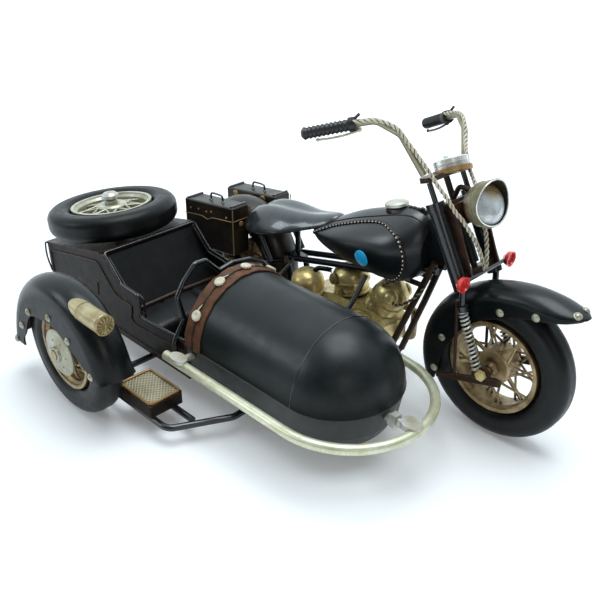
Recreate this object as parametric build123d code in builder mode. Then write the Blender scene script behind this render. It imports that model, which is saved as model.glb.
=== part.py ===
from build123d import *
import os
from math import atan2, cos, hypot, radians, sin, tan

# A tinplate motorcycle with a sidecar. +X is ahead, +Y is to the rider's left, +Z is up.
# Places are given from the point on the floor under the front wheel by at(ahead, left, up).

# ---- driving dimensions, mm ----
FRONT_X = 151.0  # the front wheel, from the middle of the model's footprint
FRONT_Y = 63.4
REAR_X = -236.0  # the rear wheel, from the front one
SIDE_X = -210.6  # the sidecar's wheel
SIDE_Y = -178.0
HULL_Y = -82.5  # the sidecar's middle plane
WALL = 1.2  # tinplate, thick enough to print
SPLINTER = 1.0  # a body of less than this, in cubic mm, is a scrap

WHEEL_R = 50.0  # front and spare
SMALL_WHEEL_R = 46.0  # rear and side
TYRE_HEIGHT = 18.8  # from the rim to the tread
TYRE_HALF = 9.8
HUB_HALF = 12.5
SPOKE_PAIRS = 8
AXLE_R = 2.0
RUNNING_GAP = 0.05  # round every axle and the steering stem

RAKE = 28.0  # degrees between the steering axis and the vertical
HEAD_X = -35.0  # a point on the steering axis
HEAD_Z = 125.0
HEAD_R = 3.7
STEM_R = 2.0
LEG_Y = 18.0  # fork legs, left and right of the middle
FORK_TUBE_R = 5.0
FORK_TOP_Z = 149.6
PLATE_Y = 14.4  # the plates inside the fork tubes

TOP_PLATE_Z = 161.0
BAR_R = 2.1
BAR_ROLL = -8.6  # degrees, right side up

LAMP_AT = (-20.5, -2.0, 152.2)  # the middle of the lamp's mouth
LAMP_R = 13.8
LAMP_PITCH = 27.0  # degrees up, square to the raked fork
LAMP_YAW = 11.0  # degrees to the right
HOOD_DEPTH = 9.0

SIGNAL_X, SIGNAL_Z = -18.6, 108.6
SIGNAL_OUT = 20.6  # half the length of the signals' bar
SIGNAL_LEFT = 25.4

FENDER_HALF = 13.4
SADDLE_CLEAR_R = 50.6  # the arch under the saddle that clears the rear fender
BOX_INNER = FENDER_HALF + 0.4  # the luggage boxes, from the middle
BOX_OUTER = 30.5

HULL_R = 42.5
BELT_Z = 46.0  # where the hull's top meets its tub
HULL_BACK_X = -160.0
NOSE_SEAM_X = -62.0
NOSE_TIP_X = -21.5
TUB_BOTTOM_Z = 18.0

DECK_FRONT = (-258.0, 79.0)  # (ahead, up) of the rear deck's two edges
DECK_BACK = (-339.0, 61.0)
BODY_HALF = 41.5

BUMPER_Z = 40.0
BUMPER_R = 3.3
BUMPER_ARM = 54.0  # from the hull's middle plane to the bumper's arms
BUMPER_NOSE_X = -1.0
BUMPER_BACK_X = -168.0
CLIP_X = -154.0

CHASSIS_Z = 12.0
TUBE_R = 2.3  # chassis and frame tubes
RAIL_Z = CHASSIS_Z + 3.6
TREAD_AT = (-165.0, -153.2)  # the middle of the footrest
FOOTREST_HEIGHT = 9.0

SPARE_AT = (-304.0, 85.0)
SPARE_TILT = 8.0


def at(ahead, left, up):
    """A point, from the point on the floor under the front wheel."""
    return Vector(FRONT_X + ahead, FRONT_Y + left, up)


def side_plane(left):
    """An upright plane along the model: sketch x is ahead, sketch y is up."""
    return Plane(at(0, left, 0), x_dir=(1, 0, 0), z_dir=(0, -1, 0))


def cross_plane(ahead, left=0.0, up=0.0):
    """An upright plane across the model: sketch x is to the left, sketch y is up."""
    return Plane(at(ahead, left, up), x_dir=(0, 1, 0), z_dir=(1, 0, 0))


BIKE_MIDDLE = Plane(at(0, 0, 0), x_dir=(1, 0, 0), z_dir=(0, 1, 0))


def steer_x(up):
    """How far ahead the steering axis is at this height."""
    return HEAD_X - (up - HEAD_Z) * tan(radians(RAKE))


STEER_DIR = (-sin(radians(RAKE)), 0, cos(radians(RAKE)))


def steer_plane(up):
    """A plane square to the steering axis, where the axis is this high: sketch x is to the left."""
    return Plane(at(steer_x(up), 0, up), x_dir=(0, 1, 0), z_dir=STEER_DIR)


# ---- shapes that several pieces share ----
def bent_tube(points, radius, bend=0.0):
    """A round bar along straight runs, joined by arcs of the bend's radius."""
    with BuildPart() as bar:
        with BuildLine() as path:
            if bend:
                FilletPolyline(*points, radius=bend)
            else:
                Polyline(*points)
        start = Plane(path.wire() @ 0, z_dir=path.wire() % 0)
        with BuildSketch(start):
            Circle(radius)
        sweep(path=path.wire())
    return bar.part


def pair_of(piece, middle):
    """A piece and its mirror image, as one node."""
    with BuildPart() as both:
        add(piece)
        mirror(piece, about=middle)
    return both.part


def rod(start, end, radius):
    """A straight round bar."""
    return bent_tube([start, end], radius)


def plate(left, thickness, *outline):
    """A flat upright plate along the model, centred on the plane at left."""
    with BuildPart() as flat:
        with BuildSketch(side_plane(left)):
            with BuildLine():
                Polyline(*outline, close=True)
            make_face()
        extrude(amount=thickness / 2, both=True)
    return flat.part


def turned(centre, axis_dir, x_dir, *outline):
    """A piece turned about axis_dir: outline points are (along the axis, radius)."""
    with BuildPart() as round_piece:
        sketch_normal = Vector(*axis_dir).cross(Vector(*x_dir))
        with BuildSketch(Plane(centre, x_dir=axis_dir, z_dir=sketch_normal)):
            with BuildLine():
                Polyline(*outline, close=True)
            make_face()
        revolve(axis=Axis(centre, axis_dir))
    return round_piece.part


def trimmed(piece, *neighbours):
    """A piece, less the room that its neighbours take and the splinters that cutting leaves."""
    with BuildPart() as cut:
        add(piece)
        for neighbour in neighbours:
            add(neighbour, mode=Mode.SUBTRACT)
    with BuildPart() as kept:
        for solid in cut.part.solids():
            if solid.volume > SPLINTER:
                add(solid)
    return kept.part


# ---- wheels ----
def tyre(radius, centre, axis_dir=(0, 1, 0), radial_dir=(0, 0, 1)):
    """A fat balloon tyre, as a ring with a rounded section."""
    normal = Vector(*axis_dir).cross(Vector(*radial_dir))
    with BuildPart() as ring:
        with BuildSketch(Plane(centre, x_dir=axis_dir, z_dir=normal)):
            with Locations((0, radius - TYRE_HEIGHT / 2)):
                RectangleRounded(2 * TYRE_HALF, TYRE_HEIGHT, 7.6)
        revolve(axis=Axis(centre, axis_dir))
    return ring.part


def spoked_wheel(radius):
    """A rim, a hub drum and crossed spokes, soldered into one piece, at the origin about Y."""
    seat = radius - TYRE_HEIGHT
    rim_outline = ((-8.6, seat), (-8.6, seat - 2.5), (-7.2, seat - 3.0), (-5.4, seat - 4.4))
    mirrored = tuple((-along, radius) for along, radius in reversed(rim_outline))
    with BuildPart() as wheel:
        add(turned((0, 0, 0), (0, 1, 0), (0, 0, 1), *rim_outline, *mirrored))
        add(turned((0, 0, 0), (0, 1, 0), (0, 0, 1), (-HUB_HALF, 0), (-HUB_HALF, 3.6), (-10.5, 5.0),
                   (-8.0, 5.0), (-8.0, 10.6), (-6.8, 11.8), (6.8, 11.8), (8.0, 10.6), (8.0, 5.0),
                   (10.5, 5.0), (HUB_HALF, 3.6), (HUB_HALF, 0)))
        for side in (-1, 1):
            for number in range(SPOKE_PAIRS):
                for lean in (-1, 1):
                    hub_angle = radians(360 * number / SPOKE_PAIRS + side * 11)
                    rim_angle = hub_angle + radians(lean * 27)
                    foot = Vector(11.2 * cos(hub_angle), side * 6.2, 11.2 * sin(hub_angle))
                    reach = seat - 3.6
                    tip = Vector(reach * cos(rim_angle), side * 3.2, reach * sin(rim_angle))
                    add(rod(foot, tip, 0.8))
        Cylinder(AXLE_R + RUNNING_GAP, 2 * HUB_HALF + 2, rotation=(90, 0, 0), mode=Mode.SUBTRACT)
    return wheel.part


# ---- fenders ----
def fender_solid(pivot_x, pivot_z, middle_y, stations, shrink):
    """One loft through arched sections, each (angle, crest radius, edge radius, half width, rise)."""
    with BuildPart() as solid:
        for angle, crest, edge, half, rise in stations:
            turn = radians(angle)
            plane = Plane(
                at(pivot_x, middle_y, pivot_z),
                x_dir=(0, 1, 0),
                z_dir=(sin(turn), 0, -cos(turn)),
            )
            width = half - shrink
            spring_line = crest - rise
            lowest = edge - 4 * shrink
            with BuildSketch(plane):
                with BuildLine():
                    Line((-width, spring_line), (-width, lowest))
                    Line((-width, lowest), (width, lowest))
                    Line((width, lowest), (width, spring_line))
                    EllipticalCenterArc((0, spring_line), width, rise - shrink, arc_size=180)
                make_face()
        loft()
    return solid.part


def fender(pivot_x, pivot_z, middle_y, stations):
    """A tinplate fender: an arched shell, open below and at both ends."""
    first, last = stations[0], stations[-1]
    before = (first[0] - 3, *first[1:])
    after = (last[0] + 3, *last[1:])
    hollow = (before, *stations[1:-1], after)
    with BuildPart() as shell:
        add(fender_solid(pivot_x, pivot_z, middle_y, stations, 0))
        add(fender_solid(pivot_x, pivot_z, middle_y, hollow, WALL), mode=Mode.SUBTRACT)
    return shell.part


FRONT_FENDER = (
    (46.0, 74.8, 71.5, 2.2, 2.4),
    (48.5, 73.4, 67.0, 7.5, 4.0),
    (53.0, 71.0, 61.0, 11.4, 7.0),
    (59.0, 68.2, 55.0, 12.8, 8.5),
    (68.0, 64.6, 48.0, 12.8, 9.5),
    (80.0, 60.4, 41.0, 12.8, 9.5),
    (94.0, 56.8, 36.0, 12.8, 9.5),
    (112.0, 54.4, 32.5, 12.8, 9.5),
    (140.0, 53.4, 30.0, 12.8, 9.5),
    (168.0, 54.4, 31.0, 12.8, 9.5),
    (192.0, 56.0, 36.5, 12.8, 9.5),
    (212.0, 57.0, 46.0, 12.8, 9.5),
)
SIDE_PIVOT_Z = 32.0
SIDE_FENDER = (
    (14.0, 57.0, 47.0, FENDER_HALF, 7.0),
    (24.0, 57.8, 40.0, FENDER_HALF, 12.0),
    (38.0, 59.2, 34.5, FENDER_HALF, 12.5),
    (64.0, 61.8, 32.0, FENDER_HALF, 12.5),
    (90.0, 63.3, 34.0, FENDER_HALF, 12.5),
    (114.0, 64.4, 36.5, FENDER_HALF, 12.5),
    (137.0, 65.6, 42.5, FENDER_HALF, 12.5),
    (155.0, 65.8, 43.0, FENDER_HALF, 12.5),
    (168.0, 66.2, 45.0, FENDER_HALF, 12.0),
    (181.0, 68.0, 47.5, FENDER_HALF, 11.0),
)
REAR_FENDER = (
    (-18.0, 48.8, 41.0, FENDER_HALF, 7.0),
    (5.0, 48.8, 35.0, FENDER_HALF, 9.5),
    (35.0, 48.8, 30.0, FENDER_HALF, 9.5),
    (75.0, 48.8, 29.0, FENDER_HALF, 9.5),
    (115.0, 48.8, 30.0, FENDER_HALF, 9.5),
    (150.0, 49.4, 34.0, FENDER_HALF, 9.5),
    (175.0, 52.4, 42.0, 11.0, 8.0),
    (188.0, 56.6, 51.0, 6.0, 5.0),
)


# ---- fork ----
def leg_rod(left, low_z, high_z, radius):
    """A bar of one fork leg, beside the steering axis from one height to another."""
    return rod(at(steer_x(low_z), left, low_z), at(steer_x(high_z), left, high_z), radius)


def fork_legs():
    """Two fat upper tubes with collars, their thin lower legs and the bar for the signals."""
    low_x, low_z = -21.4, 100.7
    with BuildPart() as legs:
        for side in (-1, 1):
            left = side * LEG_Y
            add(leg_rod(left, low_z, FORK_TOP_Z, FORK_TUBE_R))
            add(leg_rod(left, FORK_TOP_Z - 5, FORK_TOP_Z, FORK_TUBE_R + 0.7))
            add(leg_rod(side * (LEG_Y - 1), FORK_TOP_Z - 1, TOP_PLATE_Z - 0.6, 1.7))
            add(rod(at(low_x, left, low_z + 2), at(low_x + 0.9, left, 89), 2.1))
            add(rod(at(low_x + 0.7, left, 90), at(low_x + 1.9, left, 86.6), 3.5))
        add(rod(at(SIGNAL_X, -SIGNAL_OUT, SIGNAL_Z), at(SIGNAL_X, SIGNAL_OUT, SIGNAL_Z), 1.3))
    return legs.part


def steering_stem():
    """The stem inside the head tube, its yokes and side plates, and what stands on them."""
    low_yoke, high_yoke = 105.5, 144.4
    with BuildPart() as stem:
        add(leg_rod(0, low_yoke, high_yoke, STEM_R))
        add(leg_rod(0, high_yoke, TOP_PLATE_Z + 1, 1.9))
        for height, thick in ((low_yoke, 3.6), (high_yoke, 3.2)):
            with BuildSketch(steer_plane(height)):
                RectangleRounded(2 * LEG_Y, 9.0, 2.0)
            extrude(amount=thick)
        for side in (-1, 1):
            add(plate(side * PLATE_Y, 1.2, (-23.0, 104), (-17.6, 108.4), (-36.0, 151), (-48.0, 147)))
        add(plate(0, 2 * PLATE_Y, (-30.4, 138.0), (-36.0, 151.0), (-37.4, 150.4), (-31.8, 137.4)))
        with BuildSketch(steer_plane(TOP_PLATE_Z).rotated((0, -BAR_ROLL, 0))):
            SlotCenterToCenter(34.0, 10.5)
        extrude(amount=3.0)
        add(bent_tube([at(-46.2, 0, 149.6), at(-43.6, 0, 156.4), at(-36.2, 0, 156.4)], 1.6, bend=3.0))
    return stem.part


def fork_spring(left):
    """The outer shape of one coil spring, with a groove for every turn."""
    top = at(-19.6, left, 86.2)
    foot = at(-5.2, left, 51.6)
    turns = 13
    along = foot - top
    step = along.length / turns
    profile = [(0, 0), (0, 2.4)]
    for number in range(turns):
        profile.append((step * (number + 0.5), 3.2))
        profile.append((step * (number + 1), 2.4))
    profile.append((along.length, 0))
    return turned(top, tuple(along.normalized()), (0, 1, 0), *profile)


def fork_links():
    """Lower links that carry the axle, and the thin rods from the legs down to them."""
    with BuildPart() as links:
        for side in (-1, 1):
            left = side * LEG_Y
            add(plate(left, 2.2, (-34, 35.4), (-33, 32.6), (12.6, 46.2), (12.6, 50.4), (8, 50.4)))
            with BuildSketch(side_plane(left)):
                with Locations((0, WHEEL_R)):
                    Circle(4.6)
                    Circle(AXLE_R, mode=Mode.SUBTRACT)
            extrude(amount=1.1, both=True)
            add(rod(at(-20.3, left, 38.0), at(-24.4, left, 92.5), 1.0))
            add(rod(at(-5.4, left, 45.0), at(-5.2, left, 51.2), 2.6))
        with BuildSketch(side_plane(0)):
            with Locations((0, WHEEL_R)):
                Circle(AXLE_R)
        extrude(amount=LEG_Y + 2, both=True, mode=Mode.SUBTRACT)
    return links.part


def axle(ahead, left, reach_right, reach_left, up):
    """A plain axle with a hexagonal nut on each end."""
    nut = 2.6
    with BuildPart() as shaft:
        with BuildSketch(Plane(at(ahead, left - reach_right, up), x_dir=(1, 0, 0), z_dir=(0, 1, 0))):
            Circle(AXLE_R)
        extrude(amount=reach_right + reach_left)
        for end in (-reach_right, reach_left - nut):
            with BuildSketch(Plane(at(ahead, left + end, up), x_dir=(1, 0, 0), z_dir=(0, 1, 0))):
                RegularPolygon(3.6, 6)
            extrude(amount=nut)
    return shaft.part


BAR_POINTS = ((-55.4, 21.6, 162.6), (-68.0, 33.2, 184.6), (-80.2, 42.6, 190.6), (-91.0, 47.6, 186.6),
              (-115.3, 61.1, 176.8))


def rolled(piece):
    """A piece on top of the fork, tipped so that its right side stands higher."""
    return piece.rotate(Axis(at(steer_x(TOP_PLATE_Z), 0, TOP_PLATE_Z), (1, 0, 0)), BAR_ROLL)


def handlebar():
    """Two tall swept bars that stand on the ends of the top plate."""
    points = [at(*point) for point in BAR_POINTS]
    return rolled(pair_of(bent_tube(points, BAR_R, bend=9.0), BIKE_MIDDLE))


def grip():
    """One ribbed grip on the end of its bar."""
    inner, outer = at(*BAR_POINTS[-2]), at(*BAR_POINTS[-1])
    along = (outer - inner).normalized()
    start = inner + along * 1.0
    length = (outer - inner).length + 1.0
    ribs = 9
    pitch = (length - 6.0) / ribs
    profile = [(0, BAR_R), (0, 4.4), (2.6, 4.4), (3.0, 3.6)]
    for number in range(ribs):
        base = 4.0 + number * pitch
        profile += [(base, 3.1), (base + pitch * 0.5, 3.8), (base + pitch * 0.85, 3.1)]
    profile += [(length, 3.9), (length + 1.6, 2.4), (length + 1.6, 0), (length, 0), (length, BAR_R)]
    return turned(start, tuple(along), (0, 0, 1), *profile)


def handlebar_grips():
    """Both grips."""
    return rolled(pair_of(grip(), BIKE_MIDDLE))


def instrument():
    """A round drum on a wide flange, let down over the top plate, ahead of it and a little left."""
    foot = at(steer_x(TOP_PLATE_Z) + 2.5, 3.5, TOP_PLATE_Z + 1.5)
    drum = turned(foot, STEER_DIR, (0, 1, 0), (0, 0), (0, 11.6), (2.6, 12.2), (3.0, 10.6), (7.6, 10.4),
                  (8.6, 9.2), (8.6, 0))
    return rolled(drum)


def aimed(piece):
    """A piece of the lamp, turned about the middle of its mouth from straight ahead."""
    centre = at(*LAMP_AT)
    pitched = piece.rotate(Axis(centre, (0, 1, 0)), -LAMP_PITCH)
    return pitched.rotate(Axis(centre, (0, 0, 1)), -LAMP_YAW)


def headlamp():
    """A deep lamp bowl with an open mouth, under a hood that grows from nothing at the bottom."""
    face_x, left, up = LAMP_AT
    with BuildPart() as lamp:
        add(turned(at(*LAMP_AT), (-1, 0, 0), (0, 1, 0), (2.0, 0), (2.0, LAMP_R - WALL),
                   (0, LAMP_R - WALL), (0, LAMP_R), (2.0, LAMP_R), (4.0, 13.2), (8.0, 12.4),
                   (11.5, 10.6), (14.2, 7.8), (15.8, 4.2), (16.3, 0)))
        with BuildSketch(cross_plane(face_x, left, up)):
            Circle(LAMP_R)
            Circle(LAMP_R - WALL, mode=Mode.SUBTRACT)
        extrude(amount=HOOD_DEPTH)
        with BuildSketch(side_plane(left)):
            with BuildLine():
                Spline((face_x + 0.6, up - LAMP_R), (face_x + 2.6, up), (face_x + HOOD_DEPTH, up + LAMP_R))
                Polyline((face_x + HOOD_DEPTH, up + LAMP_R), (face_x + HOOD_DEPTH + 2, up + LAMP_R),
                         (face_x + HOOD_DEPTH + 2, up - LAMP_R - 2), (face_x + 0.6, up - LAMP_R - 2),
                         (face_x + 0.6, up - LAMP_R))
            make_face()
        extrude(amount=LAMP_R + 2, both=True, mode=Mode.SUBTRACT)
    return aimed(lamp.part)


def headlamp_lens():
    """The domed glass in the lamp's mouth."""
    face_x, left, up = LAMP_AT
    radius = LAMP_R - WALL - 0.05
    return aimed(turned(at(face_x - 2.0, left, up), (1, 0, 0), (0, 1, 0), (0.02, 0), (0.02, radius),
                        (1.4, radius), (3.0, radius - 2.0), (4.4, radius - 5.5), (5.2, 0)))


def signal_cup(side):
    """One round cup that opens ahead, soldered to the end of its bar."""
    back = at(SIGNAL_X - 2.4, side * SIGNAL_LEFT, SIGNAL_Z)
    return turned(back, (1, 0, 0), (0, 1, 0), (0, 0), (0, 2.0), (2.4, 4.6), (5.2, 5.2), (5.2, 4.3),
                  (3.2, 3.6), (2.6, 0))


# ---- motorcycle frame and engine ----
def frame_backbone():
    """The head tube with its neck, and the twin top tubes under the tank."""
    with BuildPart() as backbone:
        with BuildSketch(steer_plane(111.4)):
            Circle(HEAD_R)
        extrude(amount=33.0)
        add(plate(0, 6.4, (-33.0, 110), (-60.0, 97), (-66.0, 127), (-47.0, 139)))
        for side in (-1, 1):
            add(bent_tube([at(-50, side * 4.6, 98), at(-68, side * 5.8, 96), at(-86, side * 6.6, 85),
                           at(-140, side * 7, 73), at(-182, side * 7, 63)], TUBE_R, bend=12.0))
        with BuildSketch(steer_plane(100.0)):
            Circle(STEM_R + RUNNING_GAP)
        extrude(amount=60.0, mode=Mode.SUBTRACT)
    return backbone.part


def down_tube(side):
    """One tube from the neck to the lower rail, with the brace back to its top tube."""
    with BuildPart() as tube:
        add(bent_tube([at(-52, side * 5.0, 104), at(-66, side * 8.0, 66), at(-83.5, side * 9.5, 19)],
                      TUBE_R, bend=60.0))
        add(rod(at(-58.5, side * 6.8, 85.5), at(-86, side * 6.6, 85), 1.8))
    return tube.part


def lower_rail(side):
    """One rail under the engine, which turns up behind it to the saddle."""
    return bent_tube([at(-84.5, side * 9.6, 17.4), at(-93, side * 10, 15), at(-172, side * 10, 15),
                      at(-182, side * 9, 58.5)], TUBE_R, bend=9.0)


def rear_stay(side):
    """Upper and lower stays that meet round the rear axle, outside the fender."""
    out = 17.2
    with BuildPart() as stay:
        add(bent_tube([at(-186, side * 9, 60), at(-196, side * out, 58),
                       at(REAR_X + 5, side * out, SMALL_WHEEL_R + 1)], 1.9, bend=7.0))
        add(bent_tube([at(-178, side * 10, 17), at(-192, side * out, 20),
                       at(REAR_X + 5, side * out, SMALL_WHEEL_R - 2)], 1.9, bend=9.0))
        with BuildSketch(side_plane(side * out)):
            with Locations((REAR_X, SMALL_WHEEL_R)):
                Circle(6.5)
                Circle(AXLE_R, mode=Mode.SUBTRACT)
        extrude(amount=1.4, both=True)
    return stay.part


def crankcase():
    """The engine's case, with a round cover on each side."""
    with BuildPart() as case:
        with BuildSketch(side_plane(0)):
            with BuildLine():
                Polyline((-90, 20), (-84, 30), (-84, 44), (-92, 54), (-132, 54), (-160, 47), (-164, 30),
                         (-156, 20), close=True)
            make_face()
            fillet(vertices(), 5)
        extrude(amount=13.0, both=True)
        for side in (-1, 1):
            for ahead, up, radius, proud in ((-104, 37, 13.5, 4.5), (-142, 35, 11, 3.0)):
                with BuildSketch(side_plane(side * 13.0)):
                    with Locations((ahead, up)):
                        Circle(radius)
                extrude(amount=-side * proud, taper=18)
    return case.part


def engine_cylinder(foot_x, lean, height, radius):
    """A finned barrel with a domed head, leaning ahead or back."""
    foot = at(foot_x, 0, 50)
    tilt = radians(lean)
    up_dir = (sin(tilt), 0, cos(tilt))
    fins = 5
    pitch = (height * 0.55) / fins
    profile = [(0, 0), (0, radius - 2.2)]
    for number in range(fins):
        base = 4.0 + number * pitch
        profile += [(base, radius - 2.2), (base, radius), (base + pitch * 0.5, radius),
                    (base + pitch * 0.5, radius - 2.2)]
    dome = 4.0 + fins * pitch
    profile += [(dome, radius - 1.0), (dome + 3.0, radius - 0.4), (height - 3.0, radius * 0.72),
                (height, radius * 0.35), (height + 0.4, 0)]
    return turned(foot, up_dir, (0, 1, 0), *profile)


def air_cleaner():
    """An upright domed can with a rolled foot, on the engine's right side."""
    return turned(at(-157, -16, 48.5), (0, 0, 1), (1, 0, 0), (0, 0), (0, 11.6), (1.6, 12.4), (3.2, 11.4),
                  (10.0, 11.2), (14.0, 8.8), (16.6, 5.0), (17.4, 0))


def intake_pipe():
    """A bent pipe from the air cleaner to the cylinders."""
    return bent_tube([at(-153, -15, 61), at(-148, -12.5, 68.5), at(-140, -8.5, 68.5), at(-132, -4, 66)],
                     1.8, bend=4.0)


def exhaust_pipes():
    """Two pipes that leave the cylinders ahead, drop, and run back along the left side."""
    with BuildPart() as pipes:
        add(bent_tube([at(-84, 6, 56), at(-76, 12, 52), at(-82, 19.5, 24), at(-130, 19.5, 20),
                       at(-196, 24.0, 24)], 2.6, bend=5.5))
        add(turned(at(-196, 24.0, 24), (-1, 0, 0.06), (0, 1, 0), (0, 0), (0, 3.0), (4, 4.4), (54, 4.4),
                   (56, 3.6), (56, 0)))
    return pipes.part


# ---- tank, saddle and luggage ----
TANK_SECTIONS = (
    # ahead, lowest, highest, half width low, half width at the bulge, half width high
    (-158.0, 93.5, 98.5, 3.0, 4.6, 2.6),
    (-154.5, 91.0, 101.5, 7.5, 10.4, 6.0),
    (-146.0, 88.5, 105.0, 11.5, 15.2, 8.5),
    (-132.0, 86.0, 112.0, 14.5, 19.4, 10.5),
    (-114.0, 84.4, 121.0, 16.5, 22.8, 12.5),
    (-92.0, 83.0, 129.0, 17.0, 24.2, 13.5),
    (-75.0, 83.6, 133.0, 15.0, 22.4, 12.5),
    (-65.5, 88.0, 131.5, 11.0, 17.5, 10.0),
    (-59.5, 96.0, 125.5, 7.0, 11.0, 6.5),
)


def fuel_tank():
    """A teardrop tank that narrows to the rear."""
    with BuildPart() as tank:
        for ahead, low, high, half_low, half_mid, half_high in TANK_SECTIONS:
            middle = low + 0.46 * (high - low)
            shoulder = low + 0.84 * (high - low)
            with BuildSketch(cross_plane(ahead)):
                with BuildLine():
                    Spline((0, low), (half_low, low + 0.12 * (middle - low)), (half_mid, middle),
                           (half_high, shoulder), (0, high), (-half_high, shoulder),
                           (-half_mid, middle), (-half_low, low + 0.12 * (middle - low)),
                           periodic=True)
                make_face()
        loft()
    return tank.part


def fuel_cap():
    """A turned filler cap with a neck."""
    return turned(at(-88.0, 0, 124.0), (-0.2, 0, 0.98), (0, 1, 0), (0, 0), (0, 6.4), (7.2, 6.4),
                  (7.2, 8.0), (9.0, 8.0), (10.0, 6.0), (10.6, 0))


SADDLE_SECTIONS = (
    # ahead, rim height, top height, half width
    (-220.4, 83.0, 92.0, 15.0),
    (-217.0, 79.0, 96.0, 20.5),
    (-208.0, 79.5, 99.0, 23.4),
    (-196.0, 83.0, 100.5, 24.0),
    (-184.0, 88.0, 101.5, 22.4),
    (-174.0, 91.6, 102.5, 19.6),
    (-163.0, 95.6, 104.5, 15.0),
    (-150.0, 100.6, 107.4, 10.4),
    (-142.0, 104.0, 108.4, 7.0),
)


def saddle():
    """A broad saddle that narrows to a nose, arched underneath over the rear fender."""
    with BuildPart() as seat:
        for ahead, low, high, half in SADDLE_SECTIONS:
            middle = low + 0.45 * (high - low)
            with BuildSketch(cross_plane(ahead)):
                with BuildLine():
                    Spline((0, low), (0.8 * half, low), (half, middle), (0.78 * half, high - 1.2),
                           (0, high), (-0.78 * half, high - 1.2), (-half, middle), (-0.8 * half, low),
                           periodic=True)
                make_face()
        loft()
        with BuildSketch(side_plane(0)):
            with Locations((REAR_X, SMALL_WHEEL_R)):
                Circle(SADDLE_CLEAR_R)
        extrude(amount=FENDER_HALF + 1.6, both=True, mode=Mode.SUBTRACT)
    return seat.part


def saddle_post():
    """The post under the saddle on its cross plate, and two slanting struts beside the fender."""
    with BuildPart() as post:
        add(rod(at(-181, 0, 64), at(-181, 0, 94), 2.0))
        add(plate(0, 8.0, (-188, 60.5), (-174, 60.5), (-174, 64.5), (-188, 64.5)))
        for side in (-1, 1):
            add(rod(at(-209, side * 17.2, 84), at(-193, side * 17.2, 59.0), 2.3))
    return post.part


def luggage_box(side, top):
    """One upright case beside the rear fender, its top sloping back a little."""
    middle = side * (BOX_INNER + BOX_OUTER) / 2
    with BuildPart() as case:
        with BuildSketch(side_plane(middle)):
            with BuildLine():
                Polyline((-221, top), (-280, top - 7.5), (-280, 51), (-221, 58), close=True)
            make_face()
        extrude(amount=(BOX_OUTER - BOX_INNER) / 2, both=True)
        fillet(case.edges(), 1.6)
    return case.part


# ---- sidecar ----
def hull_top():
    """The hull's half-round top."""
    with BuildPart() as shell:
        with BuildSketch(cross_plane(HULL_BACK_X, HULL_Y, BELT_Z)):
            Circle(HULL_R)
            Circle(HULL_R - WALL, mode=Mode.SUBTRACT)
        extrude(amount=NOSE_SEAM_X - HULL_BACK_X)
        split(bisect_by=Plane.XY.offset(BELT_Z), keep=Keep.TOP)
    return shell.part


def hull_nose():
    """The hull's rounded nose, above the belt."""
    length = NOSE_TIP_X - NOSE_SEAM_X
    with BuildPart() as shell:
        with BuildSketch(Plane(at(NOSE_SEAM_X, HULL_Y, BELT_Z), x_dir=(1, 0, 0), z_dir=(0, -1, 0))):
            with BuildLine():
                EllipticalCenterArc((0, 0), length, HULL_R, arc_size=90)
                Line((0, HULL_R), (0, HULL_R - WALL))
                EllipticalCenterArc((0, 0), length - WALL, HULL_R - WALL, arc_size=90)
                Line((length - WALL, 0), (length, 0))
            make_face()
        revolve(axis=Axis(at(NOSE_SEAM_X, HULL_Y, BELT_Z), (1, 0, 0)))
        split(bisect_by=Plane.XY.offset(BELT_Z), keep=Keep.TOP)
    return shell.part


def tub_outline(up, half, tip_x, back_x):
    """One level of the tub: a long bow with an elliptic nose."""
    with BuildSketch(Plane(at(0, HULL_Y, up), x_dir=(1, 0, 0), z_dir=(0, 0, 1))) as level:
        with BuildLine():
            Line((NOSE_SEAM_X, half), (back_x, half))
            Line((back_x, half), (back_x, -half))
            Line((back_x, -half), (NOSE_SEAM_X, -half))
            EllipticalCenterArc((NOSE_SEAM_X, 0), tip_x - NOSE_SEAM_X, half, -90, arc_size=180)
        make_face()
    return level.sketch


def tub_solid(shrink, top_z, open_back):
    """The tub's filled shape, narrower by shrink on every side."""
    levels = ((top_z, HULL_R, NOSE_TIP_X), (30.0, 40.5, -24.5), (21.0, 37.0, -29.5),
              (TUB_BOTTOM_Z, 33.5, -33.0))
    faces = []
    for number, (up, half, tip_x) in enumerate(levels):
        raised = shrink if number == len(levels) - 1 else 0
        faces.append(tub_outline(up + raised, half - shrink, tip_x - shrink, HULL_BACK_X - open_back))
    return loft(faces, ruled=True)


def hull_tub():
    """The hull's lower half."""
    with BuildPart() as tub:
        add(tub_solid(0, BELT_Z, 0))
        add(tub_solid(WALL, BELT_Z, 2), mode=Mode.SUBTRACT)
    return tub.part


BODY_PROFILE = ((-160.4, 18), (-160.4, 45.5), (-215.5, 43), (-217, 59.5), (-237, 61.5),
                DECK_FRONT, DECK_BACK, (-338, 34), (-322, 18))


def body_block(shrink):
    """The rear body's filled shape."""
    with BuildPart() as block:
        with BuildSketch(side_plane(HULL_Y)):
            with BuildLine():
                Polyline(*BODY_PROFILE, close=True)
            make_face()
            if shrink:
                offset(amount=-shrink, kind=Kind.INTERSECTION)
        extrude(amount=BODY_HALF - shrink, both=True)
    return block.part


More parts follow.
